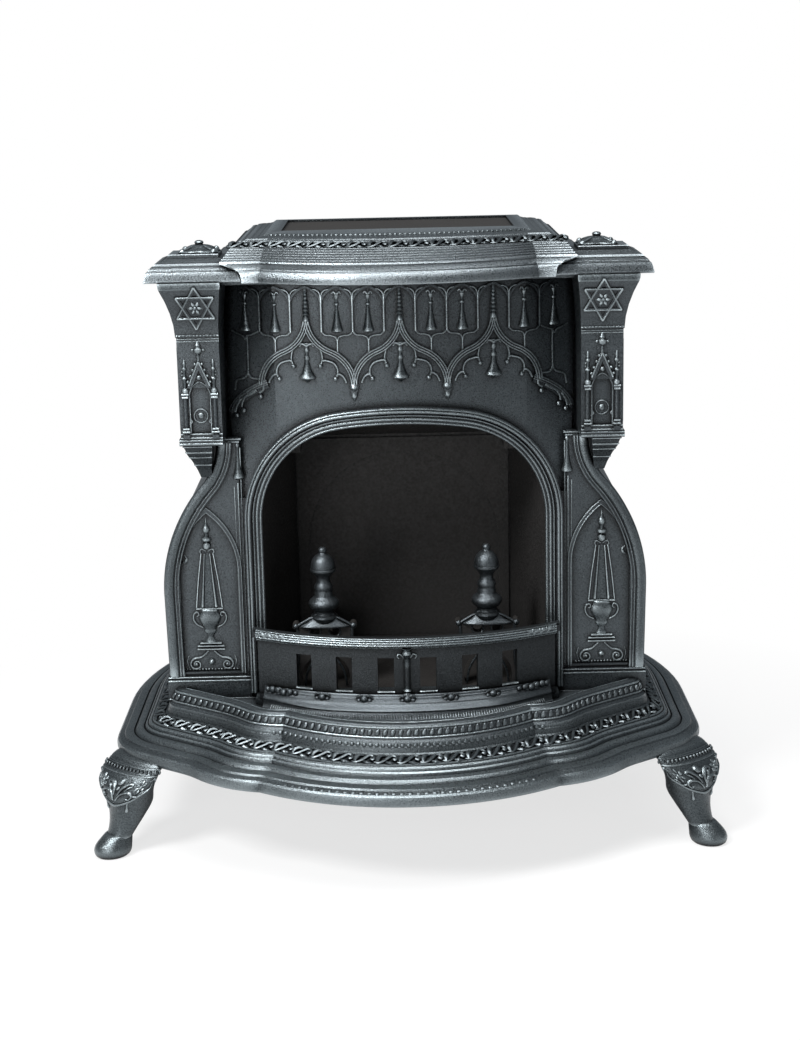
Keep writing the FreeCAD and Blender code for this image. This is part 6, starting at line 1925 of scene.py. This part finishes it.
# ---- basket and andirons ---------------------------------------------
@dataclass(frozen=True)
class Basket:
    """Mouldings and lumps of leaf on the basket front."""

    half: float = 195.0
    rise: float = 56.0
    end_y: float = -31.0
    foot: float = 184.3
    pitch: float = 53.0
    rolls: tuple[Point, ...] = (    # distance ahead, height, radius
        (6.6, 268.6, 1.5), (7, 271.6, 1.3), (6.4, 274.4, 1.3), (3.2, 276, 1.2), (2.8, 265.2, 1.4))
    post: tuple[Flat, ...] = (
        (196, 17), (200, 17), (203, 14), (206, 9.6), (209, 11.6), (211, 8), (226, 7), (244, 8),
        (254, 9), (256, 12), (259, 12), (261, 10), (264, 14))

    def course(self, ahead: float, z: float, limit: float) -> Course:
        """Course along the basket's bow.

        Args:
            ahead: Distance in front of the plate.
            z: Height.
            limit: Largest distance from the middle.

        Returns:
            The course from left to right.
        """
        full = math.asin(limit / (self.radius + ahead))
        turns = [full * (k / 20 - 1) for k in range(41)]
        return [(self.place(turn * self.radius, z, ahead), (math.sin(turn), -math.cos(turn), 0.0))
                for turn in turns]

    @property
    def radius(self) -> float:
        """Radius of the bow."""
        return (self.half ** 2 + self.rise ** 2) / (2 * self.rise)

    def place(self, u: float, v: float, height: float) -> Point:
        """Place on the basket's front.

        Args:
            u: Distance along the bow.
            v: Height.
            height: Distance off the front.

        Returns:
            The point.
        """
        turn, reach = u / self.radius, self.radius + height
        centre = self.end_y - self.rise + self.radius
        return (reach * math.sin(turn), centre - reach * math.cos(turn), v)

    def build(self, shop: Workshop) -> None:
        """Dress the basket.

        Args:
            shop: Workshop that makes the pieces.
        """
        work = Draft()
        for ahead, z, radius in self.rolls:
            roll(work, self.course(ahead, z, self.half - 5.0), radius)
        turned(work, self.place, 0.0, self.post, 1.05)
        pair(work, self.place, 0.0, [(3, 250), (8, 256), (12, 254), (10, 250.5)],
             (2.4, 3.4, 2.2), 1.1)
        self._lumps(work)
        for i in (-2.5, -1.5, -0.5, 0.5, 1.5, 2.5):
            middle = i * self.pitch
            ridge(work, self.place, line((middle - 11.0, 206.6), (middle + 11.0, 206.6), 4),
                  2.8, 1.5)
        shop.piece("basket_dressing", work, Body.BASKET)

    def _lumps(self, work: Draft) -> None:
        """Carve leafy lumps at the rail's ends.

        Args:
            work: Draft that takes them.
        """
        def on_rail(u: float, v: float, height: float) -> Point:
            """Place on the rail's front."""
            return self.place(u, v, 6.6 + height)

        for u, reach, tall in ((188, 7, 7), (178, 6.5, 6.4), (168, 6, 5.6), (159, 5, 4.6)):
            pair(work, on_rail, 0.0, [(u - reach, 268.5), (u - 2, 271 + tall / 3), (u + 3, 272.5),
                                      (u + reach, 270.5)], (2.2, tall, tall * 0.8, 2.0), 0.75, 3)
            bead_pair(work, on_rail, 0.0, (u + reach * 0.5, 274.0), 2.2, 0.9, 8)


@dataclass(frozen=True)
class Apron:
    """Moulded slope of the hearth in front of the basket, with lumps of leaf along its top."""

    basket: Basket = Basket()
    reach: float = 187.0
    gap: float = 3.9            # room for the basket's sill when it is lifted out
    depth: float = 19.0
    level: float = 95.0         # half of the stretch that keeps the full depth
    taper: float = 0.72         # share of the depth that the ends lose
    profile: tuple[Flat, ...] = (
        (0, 184.5), (0, 203.4), (0.03, 204.8), (0.08, 205), (0.13, 203.8), (0.16, 202),
        (0.21, 201.2), (0.25, 199.6), (0.36, 198.4), (0.52, 196), (0.56, 196.5), (0.6, 195),
        (0.78, 191.8), (0.92, 190.4), (1, 188.8), (1, 187.4), (0.96, 186.8), (1, 184.8),
        (1.1, 182.2), (1.3, 179.8), (1.58, 178.4), (1.62, 177.4), (0.12, 177.4), (0.12, 184.5))
    flute_pitch: float = 3.3
    flute_step: float = 5.8     # between two points of the flutes' course

    def _ahead(self, u: float, share: float, z: float, height: float = 0.0) -> Point:
        """Point of the apron, which gets less deep towards its ends.

        Args:
            u: Distance along the bow.
            share: Share of the depth.
            z: Height.
            height: Distance off the apron.

        Returns:
            The point.
        """
        run = min(max((abs(u) - self.level) / (self.reach - self.level), 0.0), 1.0)
        depth = self.depth * (1.0 - self.taper * run * run * (3.0 - 2.0 * run))
        return self.basket.place(u, z, self.gap + depth * share + height)

    def place(self, u: float, v: float, height: float) -> Point:
        """Place over the apron's top edge."""
        return self._ahead(u, 0.3, v, height)

    def build(self, shop: Workshop) -> None:
        """Build the slope and its lumps.

        Args:
            shop: Workshop that makes the pieces.
        """
        along = [self.reach * (k / 30 - 1) for k in range(61)]
        work = Draft().skin([[self._ahead(u, share, z) for share, z in self.profile]
                             for u in along])
        shop.piece("hearth_apron", work, sharp=20.0, finish=shop.rubbed)
        flutes = []
        for k in range(-30, 31):
            point = self._ahead(self.flute_step * k, 1.15, 181.6)
            turn = self.flute_step * k / self.basket.radius
            flutes.append((point, (0.7 * math.sin(turn), -0.7 * math.cos(turn), 0.7)))
        shop.band("hearth_apron_flutes", [flutes], slant_unit(10.4, 1.0, 0.0, 1.9),
                  self.flute_pitch)
        lumps = Draft()
        for i in range(-3, 4):
            u = self.basket.pitch * i
            for du, v, size in ((-6.6, 197.8, 3.4), (0.0, 199.6, 5.2), (6.6, 198.0, 3.6)):
                bead(lumps, self.place, u + du, v, size, 0.8, 11)
            pair(lumps, self.place, u, [(2, 203), (6, 204.4), (10, 201)], (1.6, 3.4, 1.8), 0.9)
        for u, size in ((142.0, 3.6), (150.0, 4.4), (167.0, 4.6), (175.0, 4.8), (182.0, 3.8)):
            bead_pair(lumps, self.place, 0.0, (u, 199.0 + size / 2), size, 0.7, 11)
        shop.piece("hearth_apron_leaves", lumps, finish=shop.plain)


@dataclass(frozen=True)
class Andiron:
    """Turned standard and rolled foot of an andiron."""

    side: Side
    x: float = 105.0
    y: float = 12.0
    top: float = 371.0
    foot: float = 184.3
    half: float = 44.0
    profile: tuple[Flat, ...] = (
        (10.5, -104), (14, -99), (17.1, -93), (16.6, -90.6), (13.4, -88.6), (12.6, -86), (13, -84),
        (16.4, -81), (18.8, -78), (19.7, -75), (19.2, -72), (17, -69.2), (12.8, -66), (11.6, -64),
        (11.7, -60.4), (10.9, -58.6), (10.7, -56.8), (11.8, -54.4), (11.4, -51), (9.2, -47.6),
        (8.1, -44.6), (8.2, -42), (9.4, -38.6), (12.6, -34.8), (15, -32.6), (16.2, -31),
        (16.2, -28.8), (15.3, -28), (15.6, -26.4), (15.4, -23), (14.4, -19.2), (12.6, -15.6),
        (9.8, -12.2), (6.4, -9.8), (4.8, -8.6), (4.4, -7.4), (5.2, -5.6), (5, -3.4), (3.6, -1.3),
        (1.2, -0.1))
    collar: tuple[Flat, ...] = (
        (284, 25), (280, 29), (276, 36), (272.5, 47), (269.5, 60), (267.6, 67), (266.4, 66),
        (265.8, 58))

    def build(self, shop: Workshop) -> None:
        """Dress the andiron.

        Args:
            shop: Workshop that makes the pieces.
        """
        work = Draft()
        x = self.side.value * self.x
        lathe(work, (x, self.y), [(r + 0.4, self.top + z) for r, z in self.profile], 40)
        front = on_face(lambda u, v: self.y - 7.0)
        turned(work, front, x, self.collar, 0.26)
        crown, waist, foot = self.top - 90.0, self.half - 7.0, self.foot + 2.0
        for path, width, chords in (
                ([(self.half - 2.6, foot), (waist - 0.6, 212), (waist - 2.4, 240),
                  (waist - 1.6, crown - 15)], 4.4, 5),
                ([(27, foot), (24, 205), (14, 222), (1, 229)], 3.4, 5),
                ([(waist - 1, crown - 14), (waist - 9, crown - 9), (18, crown - 3.4),
                  (12, crown - 2.6)], 3.8, 4)):
            pair(work, front, x, path, width, 0.9, chords)
        bead_pair(work, front, x, (waist, crown - 14.0), 4.2, 0.8, 14)
        for side in (-1, 1):
            eye = arc_path((x + side * 12.5, crown - 21.0), 7.6, 0.0, 360.0, 20)[:-1]
            ridge(work, front, eye, 2.4, 1.0, looped=True)
        body = Body.ANDIRON_LEFT if self.side is Side.LEFT else Body.ANDIRON_RIGHT
        shop.piece("andiron_dressing_" + self.side.label, work, body, finish=shop.rubbed)


# ---- camera, floor and light -----------------------------------------
@dataclass(frozen=True)
class Studio:
    """Camera, pale floor and soft lamps."""

    place: Point = (-0.00475, -2.3355, 0.9614)
    pitch: float = 13.5
    roll: float = 1.25
    focal: float = 64.73
    floor_size: float = 14.0

    def camera(self) -> None:
        """Stand the camera in front of the stove, a little above the mantel."""
        data = bpy.data.cameras.new("camera")
        data.lens = self.focal
        data.sensor_width = 36.0
        data.sensor_fit = "AUTO"
        data.clip_end = 60.0
        camera = add_object("camera", data)
        turn = Matrix.Rotation(math.radians(90 - self.pitch), 4, "X")
        tilt = Matrix.Rotation(math.radians(-self.roll), 4, "Z")
        camera.matrix_world = Matrix.Translation(self.place) @ turn @ tilt
        bpy.context.scene.camera = camera

    def floor(self) -> None:
        """Lay the white floor, which fades into the white backdrop away from the stove."""
        half = self.floor_size / 2
        mesh = bpy.data.meshes.new("floor")
        mesh.from_pydata([(-half, -half, 0), (half, -half, 0), (half, half, 0), (-half, half, 0)],
                         [], [(0, 1, 2, 3)])
        floor = add_object("floor", mesh)
        mat = bpy.data.materials.new("floor_white")
        mat.use_nodes = True
        tree = Wiring(mat.node_tree)
        shader = tree.feed(tree.nodes["Principled BSDF"],
                           {"Base Color": (0.9, 0.9, 0.9, 1), "Roughness": 0.9})
        spot = tree.add("ShaderNodeTexCoord").outputs["Object"]
        away = tree.add("ShaderNodeVectorMath", {0: spot}, operation="LENGTH")
        share = tree.math("MULTIPLY", tree.add("ShaderNodeLightPath").outputs["Is Camera Ray"],
                          tree.stretch(away.outputs["Value"], (0.3, 0.95), (0.72, 1.0)))
        glow = tree.add("ShaderNodeEmission", {"Color": (1, 1, 1, 1)})
        mix = tree.add("ShaderNodeMixShader", {"Fac": share, 1: shader, 2: glow})
        tree.feed(tree.nodes["Material Output"], {"Surface": mix})
        mesh.materials.append(mat)

    def light(self) -> None:
        """Hang soft square lamps, each aimed at the stove, under a pale sky."""
        for name, place, aim, size, power in (
                ("key", (-1.5, -1.7, 2.5), (0, -0.05, 0.4), 0.8, 100.0),
                ("side", (-1.25, -2.65, 0.6), (0, -0.1, 0.45), 0.8, 18.0),
                ("fill", (2.4, -2.2, 1.3), (0, 0, 0.4), 1.4, 6.0),
                ("front", (-0.7, -3.1, 1.4), (0, 0, 0.5), 0.9, 20.0),
                ("top", (0.1, -0.7, 3.0), (0, -0.1, 0.4), 1.4, 60.0)):
            data = bpy.data.lights.new(name, "AREA")
            data.size, data.energy = size, power
            lamp = add_object(name, data)
            turn = (Vector(place) - Vector(aim)).to_track_quat("Z", "Y").to_matrix().to_4x4()
            lamp.matrix_world = Matrix.Translation(place) @ turn
        world = bpy.data.worlds.new("sky")
        bpy.context.scene.world = world
        world.use_nodes = True
        tree = Wiring(world.node_tree)
        sky = tree.feed(tree.nodes["Background"],
                        {"Color": (0.80, 0.90, 1.0, 1), "Strength": 0.16})
        white = tree.add("ShaderNodeBackground", {"Color": (1, 1, 1, 1), "Strength": 1.0})
        path = tree.add("ShaderNodeLightPath").outputs["Is Camera Ray"]
        mix = tree.add("ShaderNodeMixShader", {"Fac": path, 1: sky, 2: white})
        tree.feed(tree.nodes["World Output"], {"Surface": mix})

    def build(self) -> None:
        """Set the whole studio up."""
        self.camera()
        self.floor()
        self.light()


def dress_castings(frame: dict, shop: Workshop) -> None:
    """Give every carried-over casting the finish of its slot.

    Args:
        frame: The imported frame.
        shop: Workshop that holds the finishes.
    """
    slots = {part["node"]: Slot(part["material_slot"]) for part in frame["record"]["subparts"]}
    for name, node in frame["nodes"].items():
        finish = shop.finishes[slots[name]]
        if slots[name] is Slot.BLACK_IRON:
            # The lid takes the near-black fire-iron finish: painted shade for its sunk seat.
            finish = {"top_plate": shop.finishes[Slot.FIRE_IRON],
                      "basket_front": shop.smoked}.get(name, shop.plain)
        for slot in node.material_slots:
            slot.material = finish


def main() -> None:
    """Build the studio and every dressed piece."""
    logging.basicConfig(level=logging.INFO, format="%(name)s: %(message)s")
    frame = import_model()
    Studio().build()
    shop = Workshop()
    dress_castings(frame, shop)
    Base().build(shop)
    for stand in leg_stands():
        Leg(stand).build(shop)
    Surround().build(shop)
    Jamb().build(shop)
    Tracery().build(shop)
    Pilaster().build(shop)
    Mantel().build(shop)
    Apron().build(shop)
    Basket().build(shop)
    for side in Side:
        Andiron(side).build(shop)
    bpy.context.scene.view_settings.view_transform = "Standard"


if __name__ == "__main__":
    main()
